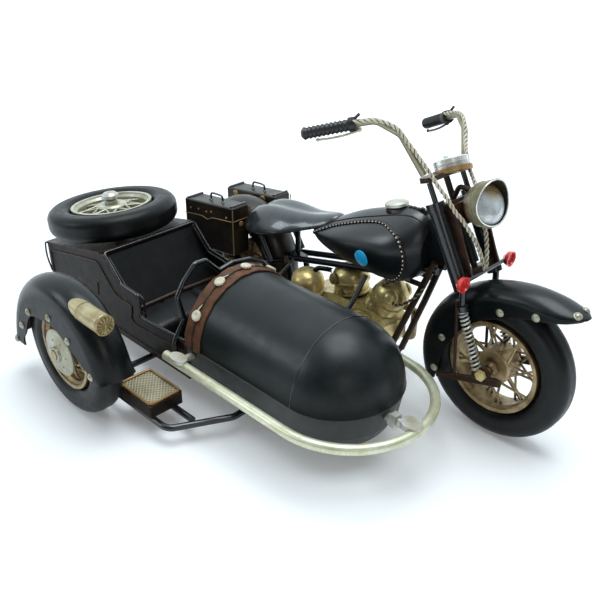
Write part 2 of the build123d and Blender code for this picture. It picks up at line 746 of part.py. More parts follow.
def body_box():
    """The open rear body: floor, side panels and tail, with the cockpit cut open above."""
    with BuildPart() as box:
        add(body_block(0))
        add(body_block(WALL), mode=Mode.SUBTRACT)
        with BuildSketch(side_plane(HULL_Y)):
            with BuildLine():
                Polyline((-150, 19.2), (-150, 110), DECK_FRONT, (-258, 76), (-236, 58), (-236, 19.2),
                         close=True)
            make_face()
        extrude(amount=BODY_HALF - WALL, both=True, mode=Mode.SUBTRACT)
        with BuildSketch(side_plane(HULL_Y)):
            with BuildLine():
                Polyline(DECK_FRONT, DECK_BACK, (-342, 90), (-258, 110), close=True)
            make_face()
            offset(amount=WALL, kind=Kind.INTERSECTION)
        extrude(amount=BODY_HALF - WALL, both=True, mode=Mode.SUBTRACT)
    return box.part


def deck_plane():
    """The rear deck's plane, from the middle of its front edge, sketch x running back."""
    slope = atan2(DECK_FRONT[1] - DECK_BACK[1], DECK_FRONT[0] - DECK_BACK[0])
    return Plane(at(DECK_FRONT[0], HULL_Y, DECK_FRONT[1]), x_dir=(-cos(slope), 0, -sin(slope)),
                 z_dir=(-sin(slope), 0, cos(slope)))


DECK_LENGTH = hypot(DECK_FRONT[0] - DECK_BACK[0], DECK_FRONT[1] - DECK_BACK[1])


def rear_deck():
    """The sloping lid behind the seat, with a round boss for the spare wheel's bolt."""
    along = DECK_FRONT[0] - SPARE_AT[0]
    with BuildPart() as deck:
        with BuildSketch(deck_plane()):
            with Locations((DECK_LENGTH / 2 + 0.6, 0)):
                RectangleRounded(DECK_LENGTH + 1.2, 2 * BODY_HALF + 1.6, 2)
        extrude(amount=1.4)
        with BuildSketch(deck_plane().offset(1.4)):
            with Locations((along, 0)):
                Circle(6)
        extrude(amount=2.0)
    return deck.part


def seat_back():
    """The panel behind the rider, from the deck down to the cushion."""
    return plate(HULL_Y, 2 * (BODY_HALF - WALL) - 0.6, (-257.4, 77.2), (-230.5, 40.5), (-228.4, 41.6),
                 (-254.6, 77.6))


def seat_cushion():
    """The cushion, a plain closed solid."""
    with BuildPart() as cushion:
        add(plate(HULL_Y, 2 * (BODY_HALF - WALL) - 3, (-227.4, 41.2), (-201, 36.4), (-200, 24.5),
                  (-236, 24.5)))
        fillet(cushion.edges().filter_by(Axis.Y), 2.2)
    return cushion.part


def cockpit_rim():
    """The rolled wire along the cockpit's edge, up the sides and over the seat back."""
    out = BODY_HALF - WALL / 2
    side_points = [(-163.5, 47.1), (-213.6, 44.7), (-215.2, 61.1), (-236.2, 63.1), (-254.6, 80.6)]
    right = [at(x, HULL_Y - out, z) for x, z in side_points]
    left = [at(x, HULL_Y + out, z) for x, z in reversed(side_points)]
    return bent_tube(right + left, 1.0, bend=2.2)


HOOP_X = -172.0
HOOP_POINTS = ((-125.8, 36), (-125.8, 44), (-116.5, 58), (-121, 76), (-115, 85.5), (-105, 95), (-96, 94.5),
               (-85, 83), (-73, 85), (-57, 82.4), (-45, 76), (-35.5, 65), (-39.0, 50), (-39.0, 36))


def windscreen_hoop():
    """The hand-bent tube in front of the cockpit, with a high hump on the right and a dip beside it."""
    points = [at(HOOP_X, left, up) for left, up in HOOP_POINTS]
    return bent_tube(points, 1.7, bend=3.0)


def cockpit_strap():
    """The leather band round the hull's rear edge, a plain closed solid."""
    with BuildPart() as band:
        with BuildSketch(cross_plane(HULL_BACK_X, HULL_Y, BELT_Z)):
            Circle(HULL_R + 1.5)
            Circle(HULL_R + 0.1, mode=Mode.SUBTRACT)
        extrude(amount=15.0)
        split(bisect_by=Plane.XY.offset(BELT_Z), keep=Keep.TOP)
    return band.part


def bumper_bar():
    """A fat tube round the hull's nose: two straight arms and a half circle."""
    corners = [at(x, HULL_Y + side * BUMPER_ARM, BUMPER_Z)
               for x, side in ((BUMPER_BACK_X, -1), (BUMPER_NOSE_X, -1), (BUMPER_NOSE_X, 1),
                               (BUMPER_BACK_X, 1))]
    return bent_tube(corners, BUMPER_R, bend=BUMPER_ARM - 0.5)


def bumper_clips():
    """Brackets that hold the bumper's arms to the hull, each with an oval pad on the tube."""
    with BuildPart() as clips:
        for side in (-1, 1):
            arm = HULL_Y + side * BUMPER_ARM
            face = HULL_Y + side * HULL_R
            with BuildSketch(Plane(at(CLIP_X, arm, BUMPER_Z + 2), x_dir=(1, 0, 0), z_dir=(0, 0, 1))):
                Ellipse(7.5, 4.6)
            extrude(amount=BUMPER_R - 0.4)
            add(rod(at(CLIP_X, arm, BUMPER_Z + 1), at(CLIP_X, face, BUMPER_Z + 1), 2.4))
    return clips.part


def nose_bolt():
    """The stay from the hull's nose to the bumper: a hexagon, a rod and an oval pad."""
    with BuildPart() as bolt:
        with BuildSketch(cross_plane(NOSE_TIP_X - 1, HULL_Y, BUMPER_Z)):
            Circle(3.0)
        extrude(amount=20.0)
        with BuildSketch(cross_plane(-19.0, HULL_Y, BUMPER_Z)):
            RegularPolygon(5.2, 6)
        extrude(amount=4.6)
        with BuildSketch(Plane(at(-5.0, HULL_Y, BUMPER_Z + 1.4), x_dir=(1, 0, 0), z_dir=(0, 0, 1))):
            Ellipse(6.8, 6.0)
        extrude(amount=BUMPER_R + 0.2)
    return bolt.part


def chassis_outer_tube():
    """The tube round the outside of the footrest, in under the hull and across to the frame."""
    return bent_tube([at(SIDE_X, -150, CHASSIS_Z), at(-196, -163.4, CHASSIS_Z),
                      at(-134, -163.4, CHASSIS_Z), at(-114, -125, CHASSIS_Z),
                      at(-114, -10.0, CHASSIS_Z + 2.6)], TUBE_R, bend=9.0)


def chassis_cross_tube():
    """The tube across under the body and the upright arm that carries the sidecar's axle."""
    with BuildPart() as cross:
        add(rod(at(SIDE_X, -157.0, CHASSIS_Z), at(SIDE_X, -12.5, CHASSIS_Z), TUBE_R))
        add(plate(-155.0, 4.0, (SIDE_X + 6, 10), (SIDE_X + 6, 48), (SIDE_X + 3, 52), (SIDE_X - 3, 52),
                  (SIDE_X - 6, 48), (SIDE_X - 6, 10)))
    return cross.part


def chassis_rails():
    """The straight rails under the hull and body, and the one that carries the footrest."""
    with BuildPart() as rails:
        add(rod(at(-130.0, -146, CHASSIS_Z), at(-204, -146, CHASSIS_Z), TUBE_R))
        for side in (-1, 1):
            left = HULL_Y + side * 26
            add(rod(at(-60, left, RAIL_Z), at(-300, left, RAIL_Z), TUBE_R))
    return rails.part


def sidecar_struts():
    """The slanting struts that tie the sidecar to the motorcycle's frame."""
    with BuildPart() as struts:
        add(bent_tube([at(-105.9, -8, 76.5), at(-106, -20, 61), at(-106, -40, 44)], 1.9, bend=30.0))
        add(rod(at(-176, -8.0, 65.6), at(-180, -41.1, 42.8), 1.2))
    return struts.part


def tread_middle():
    """The middle of the footrest, seen from above."""
    return (FRONT_X + TREAD_AT[0], FRONT_Y + TREAD_AT[1])


def footrest_box():
    """The box that carries the footrest tread."""
    with BuildPart() as box:
        with BuildSketch(Plane.XY.offset(CHASSIS_Z + TUBE_R)):
            with Locations(tread_middle()):
                RectangleRounded(36, 26, 1.5)
        extrude(amount=FOOTREST_HEIGHT)
    return box.part


def footrest_tread():
    """The mesh tread with its raised edge."""
    top = CHASSIS_Z + TUBE_R + FOOTREST_HEIGHT
    with BuildPart() as tread:
        with BuildSketch(Plane.XY.offset(top)):
            with Locations(tread_middle()):
                RectangleRounded(34, 24, 1.2)
        extrude(amount=0.8)
        with BuildSketch(Plane.XY.offset(top + 0.8)):
            with Locations(tread_middle()):
                RectangleRounded(34, 24, 1.2)
                Rectangle(31, 21, mode=Mode.SUBTRACT)
        extrude(amount=0.7)
    return tread.part


def side_lamp():
    """A round lamp let into the front of the side fender: a drum with a faceted face."""
    return turned(at(-194, -182.0, 84.5), (1, 0, 0), (0, 1, 0), (0, 0), (0, 6.5), (31, 6.5),
                  (32.4, 5.6), (33.2, 3.0), (33.4, 0))


def side_axle():
    """The sidecar wheel's axle, from its arm out to the hub."""
    return axle(SIDE_X, SIDE_Y, 16.0, 27.0, SMALL_WHEEL_R)


def spare_centre():
    """The middle of the spare wheel, and the direction of its axis."""
    tilt = radians(SPARE_TILT)
    return at(SPARE_AT[0], HULL_Y, SPARE_AT[1]), (-sin(tilt), 0, cos(tilt))


def spare_tyre():
    """The spare wheel's tyre, lying on the rear deck."""
    centre, axis_dir = spare_centre()
    return tyre(WHEEL_R, centre, axis_dir, (0, 1, 0))


def spare_cap():
    """The domed nut and bolt that hold the spare wheel down."""
    centre, axis_dir = spare_centre()
    shank = AXLE_R
    return turned(centre, axis_dir, (0, 1, 0), (-13.0, 0), (-13.0, shank), (HUB_HALF + 0.1, shank),
                  (HUB_HALF + 0.1, 7.0), (HUB_HALF + 2.4, 6.6), (HUB_HALF + 4.4, 4.4),
                  (HUB_HALF + 5.2, 0))


def placed_wheel(wheel, centre, axis_dir=(0, 1, 0)):
    """A copy of the spoked wheel, with its axis turned from Y to axis_dir."""
    plane = Plane(centre, x_dir=(0, 1, 0) if axis_dir[1] == 0 else (1, 0, 0), z_dir=axis_dir)
    upright = wheel.rotate(Axis.X, 90)
    return plane.location * upright


# ---- every piece by its name ----
WHEEL = spoked_wheel(WHEEL_R)
SMALL_WHEEL = spoked_wheel(SMALL_WHEEL_R)
FRONT_AT = at(0, 0, WHEEL_R)
REAR_AT = at(REAR_X, 0, SMALL_WHEEL_R)
SIDE_AT = at(SIDE_X, SIDE_Y, SMALL_WHEEL_R)

PIECES = {
    "front_tyre": tyre(WHEEL_R, FRONT_AT),
    "front_wheel": placed_wheel(WHEEL, FRONT_AT),
    "rear_tyre": tyre(SMALL_WHEEL_R, REAR_AT),
    "rear_wheel": placed_wheel(SMALL_WHEEL, REAR_AT),
    "side_tyre": tyre(SMALL_WHEEL_R, SIDE_AT),
    "side_wheel": placed_wheel(SMALL_WHEEL, SIDE_AT),
    "spare_tyre": spare_tyre(),
    "spare_wheel": placed_wheel(WHEEL, *spare_centre()),
    "spare_hub_cap": spare_cap(),
    "front_axle": axle(0, 0, LEG_Y + 4.2, LEG_Y + 4.2, WHEEL_R),
    "rear_axle": axle(REAR_X, 0, LEG_Y + 3.8, LEG_Y + 3.8, SMALL_WHEEL_R),
    "side_axle": side_axle(),
    "front_fender": fender(0, WHEEL_R, 0, FRONT_FENDER),
    "rear_fender": fender(REAR_X, SMALL_WHEEL_R, 0, REAR_FENDER),
    "side_fender": fender(SIDE_X, SIDE_PIVOT_Z, SIDE_Y, SIDE_FENDER),
    "fork_legs": fork_legs(),
    "fork_springs": fork_spring(LEG_Y) + fork_spring(-LEG_Y),
    "fork_links": fork_links(),
    "steering_stem": steering_stem(),
    "handlebar": handlebar(),
    "handlebar_grips": handlebar_grips(),
    "instrument": instrument(),
    "headlamp": headlamp(),
    "headlamp_lens": headlamp_lens(),
    "signal_cups": signal_cup(1) + signal_cup(-1),
    "frame_backbone": frame_backbone(),
    "frame_down_tubes": down_tube(-1) + down_tube(1),
    "frame_lower_rails": lower_rail(-1) + lower_rail(1),
    "frame_rear_stays": rear_stay(-1) + rear_stay(1),
    "crankcase": crankcase(),
    "front_cylinder": engine_cylinder(-99, 35, 31, 13.0),
    "rear_cylinder": engine_cylinder(-124, -10, 25.5, 14.5),
    "air_cleaner": air_cleaner(),
    "intake_pipe": intake_pipe(),
    "exhaust_pipes": exhaust_pipes(),
    "fuel_tank": fuel_tank(),
    "fuel_cap": fuel_cap(),
    "saddle": saddle(),
    "saddle_post": saddle_post(),
    "luggage_box_right": luggage_box(-1, 98.0),
    "luggage_box_left": luggage_box(1, 95.5),
    "hull_top": hull_top(),
    "hull_nose": hull_nose(),
    "hull_tub": hull_tub(),
    "body_box": body_box(),
    "rear_deck": rear_deck(),
    "seat_back": seat_back(),
    "seat_cushion": seat_cushion(),
    "cockpit_rim": cockpit_rim(),
    "windscreen_hoop": windscreen_hoop(),
    "cockpit_strap": cockpit_strap(),
    "bumper_bar": bumper_bar(),
    "bumper_brackets": bumper_clips() + nose_bolt(),
    "chassis_outer_tube": chassis_outer_tube(),
    "chassis_cross_tube": chassis_cross_tube(),
    "chassis_rails": chassis_rails(),
    "sidecar_struts": sidecar_struts(),
    "footrest_box": footrest_box(),
    "footrest_tread": footrest_tread(),
    "side_lamp": trimmed(side_lamp(), fender_solid(SIDE_X, SIDE_PIVOT_Z, SIDE_Y, SIDE_FENDER, 0)),
}

# A piece gives way to the neighbours that pass through it or that it stands on.
GIVES_WAY = {
    "steering_stem": ("fork_legs",),
    "headlamp": ("steering_stem",),
    "handlebar": ("steering_stem",),
    "handlebar_grips": ("handlebar",),
    "instrument": ("steering_stem", "handlebar"),
    "signal_cups": ("fork_legs",),
    "fork_links": ("fork_legs", "front_axle"),
    "fork_springs": ("fork_links", "fork_legs"),
    "frame_down_tubes": ("frame_backbone", "frame_lower_rails"),
    "frame_rear_stays": ("frame_lower_rails", "rear_fender"),
    "frame_lower_rails": ("frame_backbone",),
    "front_cylinder": ("crankcase",),
    "rear_cylinder": ("crankcase", "front_cylinder", "frame_backbone"),
    "air_cleaner": ("crankcase",),
    "intake_pipe": ("air_cleaner", "rear_cylinder"),
    "exhaust_pipes": ("front_cylinder", "crankcase"),
    "saddle_post": ("frame_backbone", "frame_rear_stays", "frame_lower_rails"),
    "fuel_tank": ("frame_backbone", "frame_down_tubes"),
    "saddle": ("fuel_tank", "saddle_post"),
    "fuel_cap": ("fuel_tank",),
    "rear_deck": ("spare_hub_cap", "spare_wheel"),
    "windscreen_hoop": ("cockpit_rim", "body_box"),
    "bumper_brackets": ("bumper_bar", "hull_tub", "hull_top", "hull_nose"),
    "chassis_cross_tube": ("frame_rear_stays", "side_axle"),
    "chassis_outer_tube": ("chassis_cross_tube", "frame_lower_rails"),
    "chassis_rails": ("chassis_outer_tube", "chassis_cross_tube", "hull_tub", "body_box"),
    "sidecar_struts": ("hull_tub", "hull_top", "body_box", "saddle_post", "frame_lower_rails",
                       "frame_backbone"),
}
for name, neighbours in GIVES_WAY.items():
    PIECES[name] = trimmed(PIECES[name], *(PIECES[neighbour] for neighbour in neighbours))

os.makedirs("parts", exist_ok=True)
for name, piece in PIECES.items():
    piece.label = name
    export_step(piece, f"parts/{name}.step")
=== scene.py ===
import math
import bmesh
import bpy
from mathutils import Matrix, Vector


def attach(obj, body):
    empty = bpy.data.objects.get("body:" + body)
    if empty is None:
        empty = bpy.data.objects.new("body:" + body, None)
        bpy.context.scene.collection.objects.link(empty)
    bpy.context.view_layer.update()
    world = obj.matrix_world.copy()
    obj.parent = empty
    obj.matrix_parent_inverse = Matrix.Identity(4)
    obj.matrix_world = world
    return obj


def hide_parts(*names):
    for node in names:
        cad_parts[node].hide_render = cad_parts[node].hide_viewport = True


# The looks of a tinplate motorcycle with a sidecar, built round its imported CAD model.
# Places are given in mm from the point on the floor under the front wheel by at(ahead, left, up).

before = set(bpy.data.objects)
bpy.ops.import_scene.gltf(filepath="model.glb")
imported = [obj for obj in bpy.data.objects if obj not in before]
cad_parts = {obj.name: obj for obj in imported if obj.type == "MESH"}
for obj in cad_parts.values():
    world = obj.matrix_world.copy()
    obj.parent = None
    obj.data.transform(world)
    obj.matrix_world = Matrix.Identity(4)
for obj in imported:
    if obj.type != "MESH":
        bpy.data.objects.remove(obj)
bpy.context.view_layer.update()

FRONT_X = 151.0
FRONT_Y = 63.4
SMALL_WHEEL_R = 46.0
SIDE_X = -210.6
SIDE_Y = -178.0
HULL_Y = -82.5
HULL_R = 42.5
BELT_Z = 46.0
MM = 0.001


def at(ahead, left, up):
    """A point, in metres."""
    return Vector((FRONT_X + ahead, FRONT_Y + left, up)) * MM


# ---- materials ----
def fresh_material(name):
    made = bpy.data.materials.new(name)
    made.use_nodes = True
    return made, made.node_tree, made.node_tree.nodes["Principled BSDF"]


def wire(tree, kind, settings=None, **inputs):
    """One node, with its settings, and its inputs set to a value or linked from a socket."""
    node = tree.nodes.new(kind)
    for name, value in (settings or {}).items():
        setattr(node, name, value)
    for name, value in inputs.items():
        numbered = name[0] == "i" and name[1:].isdigit()
        socket = node.inputs[int(name[1:])] if numbered else node.inputs[name]
        if isinstance(value, bpy.types.NodeSocket):
            tree.links.new(value, socket)
        else:
            socket.default_value = value
    return node


def noise(tree, scale, detail=3.0, rough=0.55, stretch=None):
    """Noise in the object's own space, its scale in features per metre."""
    place = wire(tree, "ShaderNodeTexCoord").outputs["Object"]
    if stretch:
        place = wire(tree, "ShaderNodeMapping", Vector=place, Scale=stretch).outputs["Vector"]
    made = wire(tree, "ShaderNodeTexNoise", Vector=place, Scale=scale, Detail=detail, Roughness=rough)
    return made.outputs["Fac"]


def ramp(tree, value, low, high, to_low=0.0, to_high=1.0):
    """The value's stretch from low to high, spread from to_low to to_high."""
    made = wire(tree, "ShaderNodeMapRange", i0=value, i1=low, i2=high, i3=to_low, i4=to_high)
    return made.outputs[0]


def times(tree, a, b):
    return wire(tree, "ShaderNodeMath", {"operation": "MULTIPLY"}, i0=a, i1=b).outputs[0]


def blend_colour(tree, factor, a, b):
    made = wire(tree, "ShaderNodeMix", {"data_type": "RGBA"}, i0=factor)
    for socket, value in ((made.inputs[6], a), (made.inputs[7], b)):
        if isinstance(value, bpy.types.NodeSocket):
            tree.links.new(value, socket)
        else:
            socket.default_value = (*value, 1)
    return made.outputs[2]


def edge_mask(tree, radius_mm):
    """1 along sharp edges, 0 on flat and gently curved faces."""
    soft = wire(tree, "ShaderNodeBevel", {"samples": 6}, Radius=radius_mm * MM).outputs["Normal"]
    true = wire(tree, "ShaderNodeNewGeometry").outputs["Normal"]
    dot = wire(tree, "ShaderNodeVectorMath", {"operation": "DOT_PRODUCT"}, i0=soft, i1=true)
    return ramp(tree, dot.outputs["Value"], 0.995, 0.88)


def crevice_shade_mask(tree, reach_mm):
    """1 in corners and gaps, where shade falls, 0 in the open: a mask for painted shade."""
    made = wire(tree, "ShaderNodeAmbientOcclusion", {"samples": 6}, Distance=reach_mm * MM)
    return ramp(tree, made.outputs["AO"], 0.85, 0.25)


def from_axis(tree, centre, axis):
    """How far along an axis from its centre, and how far out from it, both in metres."""
    place = wire(tree, "ShaderNodeTexCoord").outputs["Object"]
    apart = wire(tree, "ShaderNodeVectorMath", {"operation": "SUBTRACT"}, i0=place, i1=centre).outputs[0]
    along = wire(tree, "ShaderNodeVectorMath", {"operation": "DOT_PRODUCT"}, i0=apart, i1=axis)
    across = wire(tree, "ShaderNodeVectorMath", {"operation": "CROSS_PRODUCT"}, i0=apart, i1=axis)
    out = wire(tree, "ShaderNodeVectorMath", {"operation": "LENGTH"}, i0=across.outputs[0])
    return along.outputs["Value"], out.outputs["Value"]


def bumped(tree, shader, height, strength, depth_mm=0.1):
    made = wire(tree, "ShaderNodeBump", Height=height, Strength=strength, Distance=depth_mm * MM)
    tree.links.new(made.outputs["Normal"], shader.inputs["Normal"])


def facing_up(tree, low, high):
    """A number that goes from low on upright faces to high on level ones."""
    normal = wire(tree, "ShaderNodeNewGeometry").outputs["Normal"]
    parts = wire(tree, "ShaderNodeSeparateXYZ", Vector=normal)
    return ramp(tree, parts.outputs["Z"], 0.0, 0.55, low, high)


def lacquer(name, base, cloud, worn, rough=(0.30, 0.42), wear=0.6, edge_mm=1.1, rub=0.62, coat=0.0,
            gloss=0.38, side_gloss=0.2):
    """Brushed-on satin paint: cloudy colour, brown rubbed edges and patches, faint brush marks.

    gloss is for the faces that look up, side_gloss for the upright ones: painted light, as less gloss keeps
    the sides dark and more gives the tops a brighter sheen.
    """
    made, tree, shader = fresh_material(name)
    clouds = ramp(tree, noise(tree, 45, 4), 0.35, 0.7)
    colour = blend_colour(tree, clouds, base, cloud)
    patches = ramp(tree, noise(tree, 120, 6, 0.65), rub, rub + 0.14, 0.0, 0.5)
    broken = ramp(tree, noise(tree, 420, 5, 0.7), 0.38, 0.62)
    edges = times(tree, times(tree, edge_mask(tree, edge_mm), broken), wear)
    colour = blend_colour(tree, times(tree, patches, wear), colour, worn)
    colour = blend_colour(tree, edges, colour, worn)
    tree.links.new(colour, shader.inputs["Base Color"])
    tree.links.new(ramp(tree, noise(tree, 160, 5), 0.3, 0.7, *rough), shader.inputs["Roughness"])
    # Painted light: gloss and coat rise from upright to level faces, darkening the sides and brightening the
    # tops.
    tree.links.new(facing_up(tree, side_gloss, gloss), shader.inputs["Specular IOR Level"])
    tree.links.new(facing_up(tree, coat * 0.25, coat), shader.inputs["Coat Weight"])
    shader.inputs["Coat Roughness"].default_value = 0.22
    bumped(tree, shader, noise(tree, 520, 4), 0.10)
    return made


def antique(name, bright, tint, dark, metallic=0.55, rough=(0.30, 0.48), reach_mm=3.0, wash_and_shade=0.85,
            grain=700, shaded=None):
    """Antiqued metal lacquer: a bright colour, tinted clouds, and painted shade darkening the corners, which
    also stands for a dark wash there.

    shaded adds what else changes its colour: a function of the node tree and the colour so far.
    """
    made, tree, shader = fresh_material(name)
    colour = blend_colour(tree, ramp(tree, noise(tree, 90, 5), 0.38, 0.66), bright, tint)
    if shaded:
        colour = shaded(tree, colour)
    specks = ramp(tree, noise(tree, 520, 6, 0.7), 0.56, 0.74, 0.0, 0.55)
    colour = blend_colour(tree, specks, colour, dark)
    # Painted shade: corners and gaps are darkened towards the dark colour, which also stands for the antique
    # wash.
    colour = blend_colour(tree, times(tree, crevice_shade_mask(tree, reach_mm), wash_and_shade), colour, dark)
    tree.links.new(colour, shader.inputs["Base Color"])
    tree.links.new(ramp(tree, noise(tree, 260, 5), 0.3, 0.7, *rough), shader.inputs["Roughness"])
    shader.inputs["Metallic"].default_value = metallic
    bumped(tree, shader, noise(tree, grain, 5, 0.6), 0.22)
    return made


def worked(name, base, cloud, rough, bump, scale, metallic=0.0, sheen=0.0, coat=0.0, gloss=0.5):
    """A plain material with clouds, grain and uneven gloss at its own scale."""
    made, tree, shader = fresh_material(name)
    colour = blend_colour(tree, ramp(tree, noise(tree, scale * 0.2, 4), 0.35, 0.68), base, cloud)
    tree.links.new(colour, shader.inputs["Base Color"])
    tree.links.new(ramp(tree, noise(tree, scale * 0.5, 4), 0.3, 0.7, *rough), shader.inputs["Roughness"])
    shader.inputs["Metallic"].default_value = metallic
    shader.inputs["Specular IOR Level"].default_value = gloss
    shader.inputs["Coat Weight"].default_value = coat
    shader.inputs["Coat Roughness"].default_value = 0.08
    shader.inputs["Sheen Weight"].default_value = sheen
    bumped(tree, shader, noise(tree, scale, 5, 0.6), bump)
    return made


# The lamp's mouth and the dial's foot, and the axis of each.
LAMP_R = 13.8
LAMP_CENTRE = at(-20.5, -2.0, 152.2)
LAMP_TURN = Matrix.Rotation(math.radians(-11.0), 3, "Z") @ Matrix.Rotation(math.radians(-27.0), 3, "Y")
LAMP_AXIS = LAMP_TURN @ Vector((1, 0, 0))
RAKE = math.radians(28.0)
STEER_AXIS = Vector((-math.sin(RAKE), 0, math.cos(RAKE)))
BAR_TURN = Matrix.Rotation(math.radians(-8.6), 3, "X")
TOP_PLATE_X = -35.0 - (161.0 - 125.0) * math.tan(RAKE)
BAR_PIVOT = at(TOP_PLATE_X, 0, 161.0)
DIAL_AXIS = BAR_TURN @ STEER_AXIS
DIAL_FOOT = BAR_PIVOT + BAR_TURN @ (at(TOP_PLATE_X + 2.5, 3.5, 162.5) - BAR_PIVOT)


def hood_shade(tree, colour):
    """Painted shadow: dark olive inside the hood. Brown towards the back of the bowl."""
    along, out = from_axis(tree, LAMP_CENTRE, LAMP_AXIS)
    # Painted shadow: the inside of the hood is darkened.
    inside = times(tree, ramp(tree, out, (LAMP_R - 0.5) * MM, (LAMP_R - 0.8) * MM),
                   ramp(tree, along, -2.6 * MM, -2.2 * MM))
    behind = ramp(tree, along, -1.5 * MM, -9.0 * MM, 0.0, 0.95)
    colour = blend_colour(tree, behind, colour, (0.090, 0.034, 0.012))
    return blend_colour(tree, inside, colour, (0.030, 0.028, 0.012))


def drum_shade(tree, colour):
    """A gold flange under the silver drum."""
    along, out = from_axis(tree, DIAL_FOOT, DIAL_AXIS)
    return blend_colour(tree, ramp(tree, along, 3.1 * MM, 2.7 * MM), colour, (0.46, 0.27, 0.11))


def mirror_tint_and_highlight(tree, colour):
    """A gold cloud over the top of the mirrored glass: its gold tint and a painted yellow highlight."""
    along, out = from_axis(tree, LAMP_CENTRE + LAMP_TURN @ Vector((0, 0.004, 0.012)), LAMP_AXIS)
    # Painted highlight: gold near the top of the glass.
    cloud = ramp(tree, out, 12.5 * MM, 7.0 * MM, 0.0, 0.95)
    return blend_colour(tree, cloud, colour, (0.36, 0.24, 0.10))


BLACK = lacquer("black_lacquer", (0.0028, 0.0040, 0.0046), (0.0062, 0.0080, 0.0088), (0.095, 0.038, 0.017),
                rough=(0.26, 0.36), wear=0.8, edge_mm=1.4, gloss=0.42, side_gloss=0.12)
HULL_BLACK = lacquer("hull_black", (0.0036, 0.0060, 0.0068), (0.009, 0.013, 0.0142), (0.085, 0.036, 0.018),
                     rough=(0.32, 0.42), wear=0.5, rub=0.67, gloss=0.42, side_gloss=0.14)
TUB_GREY = lacquer("tub_grey", (0.024, 0.026, 0.0255), (0.042, 0.043, 0.041), (0.090, 0.040, 0.022),
                   rough=(0.36, 0.50), wear=0.7, side_gloss=0.34)
BODY_BLACK = lacquer("body_black", (0.0065, 0.0052, 0.0042), (0.018, 0.0120, 0.0080), (0.140, 0.055, 0.020),
                     rough=(0.32, 0.46), wear=1.0, edge_mm=1.7, rub=0.58, gloss=0.22, side_gloss=0.10)
BOX_BLACK = lacquer("box_black", (0.010, 0.0085, 0.0065), (0.032, 0.023, 0.014), (0.13, 0.065, 0.026),
                    rough=(0.28, 0.42), wear=0.9, edge_mm=1.3, rub=0.58, gloss=0.62, side_gloss=0.30)
TANK_BLACK = lacquer("tank_black", (0.0040, 0.0055, 0.0065), (0.0075, 0.010, 0.012), (0.05, 0.022, 0.012),
                     rough=(0.30, 0.38), wear=0.2, rub=0.72, coat=0.25, gloss=0.9, side_gloss=0.14)
BROWN = lacquer("brown_lacquer", (0.018, 0.009, 0.006), (0.045, 0.020, 0.011), (0.12, 0.055, 0.026),
                rough=(0.30, 0.45), wear=0.8, rub=0.55)
GLOSS_BLACK = lacquer("gloss_black", (0.0060, 0.0080, 0.0105), (0.011, 0.013, 0.016), (0.09, 0.035, 0.015),
                      rough=(0.16, 0.28), wear=0.5, edge_mm=0.6, coat=0.8, gloss=0.6, side_gloss=0.45)
TYRE = worked("tyre_rubber", (0.0030, 0.0038, 0.0042), (0.0072, 0.0082, 0.0088), (0.32, 0.46), 0.14, 600,
              gloss=0.26)
GOLD_WHEEL = antique("gold_wheel", (0.46, 0.35, 0.18), (0.16, 0.095, 0.045), (0.060, 0.028, 0.012))
SPARE_GOLD = antique("spare_gold", (0.60, 0.60, 0.50), (0.42, 0.38, 0.26), (0.06, 0.040, 0.022))
SILVER = antique("antique_silver", (0.62, 0.64, 0.60), (0.50, 0.46, 0.34), (0.12, 0.085, 0.045),
                 wash_and_shade=0.7)
HUB_SILVER = antique("hub_silver", (0.44, 0.44, 0.35), (0.30, 0.27, 0.18), (0.07, 0.045, 0.02),
                     wash_and_shade=0.95)
LAMP_SILVER = antique("lamp_silver", (0.34, 0.34, 0.23), (0.16, 0.135, 0.070), (0.040, 0.026, 0.012),
                      metallic=0.4, shaded=hood_shade)
DIAL = antique("dial_silver", (0.74, 0.77, 0.75), (0.50, 0.49, 0.40), (0.14, 0.10, 0.06), wash_and_shade=0.5,
               rough=(0.20, 0.36), shaded=drum_shade)
BRIGHT = antique("bright_edge", (0.86, 0.88, 0.86), (0.70, 0.72, 0.66), (0.34, 0.31, 0.24), wash_and_shade=0.2,
                 rough=(0.18, 0.30))
BAR_SILVER = antique("bar_silver", (0.36, 0.35, 0.24), (0.24, 0.215, 0.135), (0.085, 0.060, 0.032),
                     wash_and_shade=0.7)
BUMPER = antique("bumper_gold", (0.76, 0.77, 0.58), (0.60, 0.59, 0.40), (0.26, 0.22, 0.13), metallic=0.5,
                 rough=(0.30, 0.44), wash_and_shade=0.4)
BRASS = antique("brass_engine", (0.86, 0.72, 0.33), (0.52, 0.38, 0.15), (0.060, 0.028, 0.010), reach_mm=4.0,
                wash_and_shade=1.0, rough=(0.24, 0.38))
DARK_BRASS = antique("dark_brass", (0.40, 0.32, 0.15), (0.24, 0.16, 0.06), (0.030, 0.015, 0.007),
                     wash_and_shade=0.95)
LAMP_BRASS = antique("lamp_brass", (0.52, 0.46, 0.28), (0.34, 0.27, 0.13), (0.06, 0.035, 0.016),
                     wash_and_shade=0.9)
MESH_GOLD = antique("mesh_gold", (0.66, 0.64, 0.50), (0.54, 0.49, 0.32), (0.20, 0.14, 0.07), wash_and_shade=0.8)
EDGE_GOLD = antique("edge_gold", (0.46, 0.30, 0.13), (0.34, 0.19, 0.07), (0.10, 0.04, 0.015),
                    metallic=0.5)
GLASS = antique("lamp_mirror", (0.78, 0.83, 0.85), (0.42, 0.46, 0.48), (0.16, 0.16, 0.14), metallic=0.25,
                rough=(0.22, 0.34), wash_and_shade=0.5, grain=300, shaded=mirror_tint_and_highlight)
RED = worked("red_enamel", (0.84, 0.060, 0.050), (0.62, 0.030, 0.028), (0.12, 0.24), 0.06, 300, coat=0.6)
GRIP = worked("black_grip", (0.008, 0.008, 0.009), (0.016, 0.016, 0.016), (0.32, 0.50), 0.25, 900)
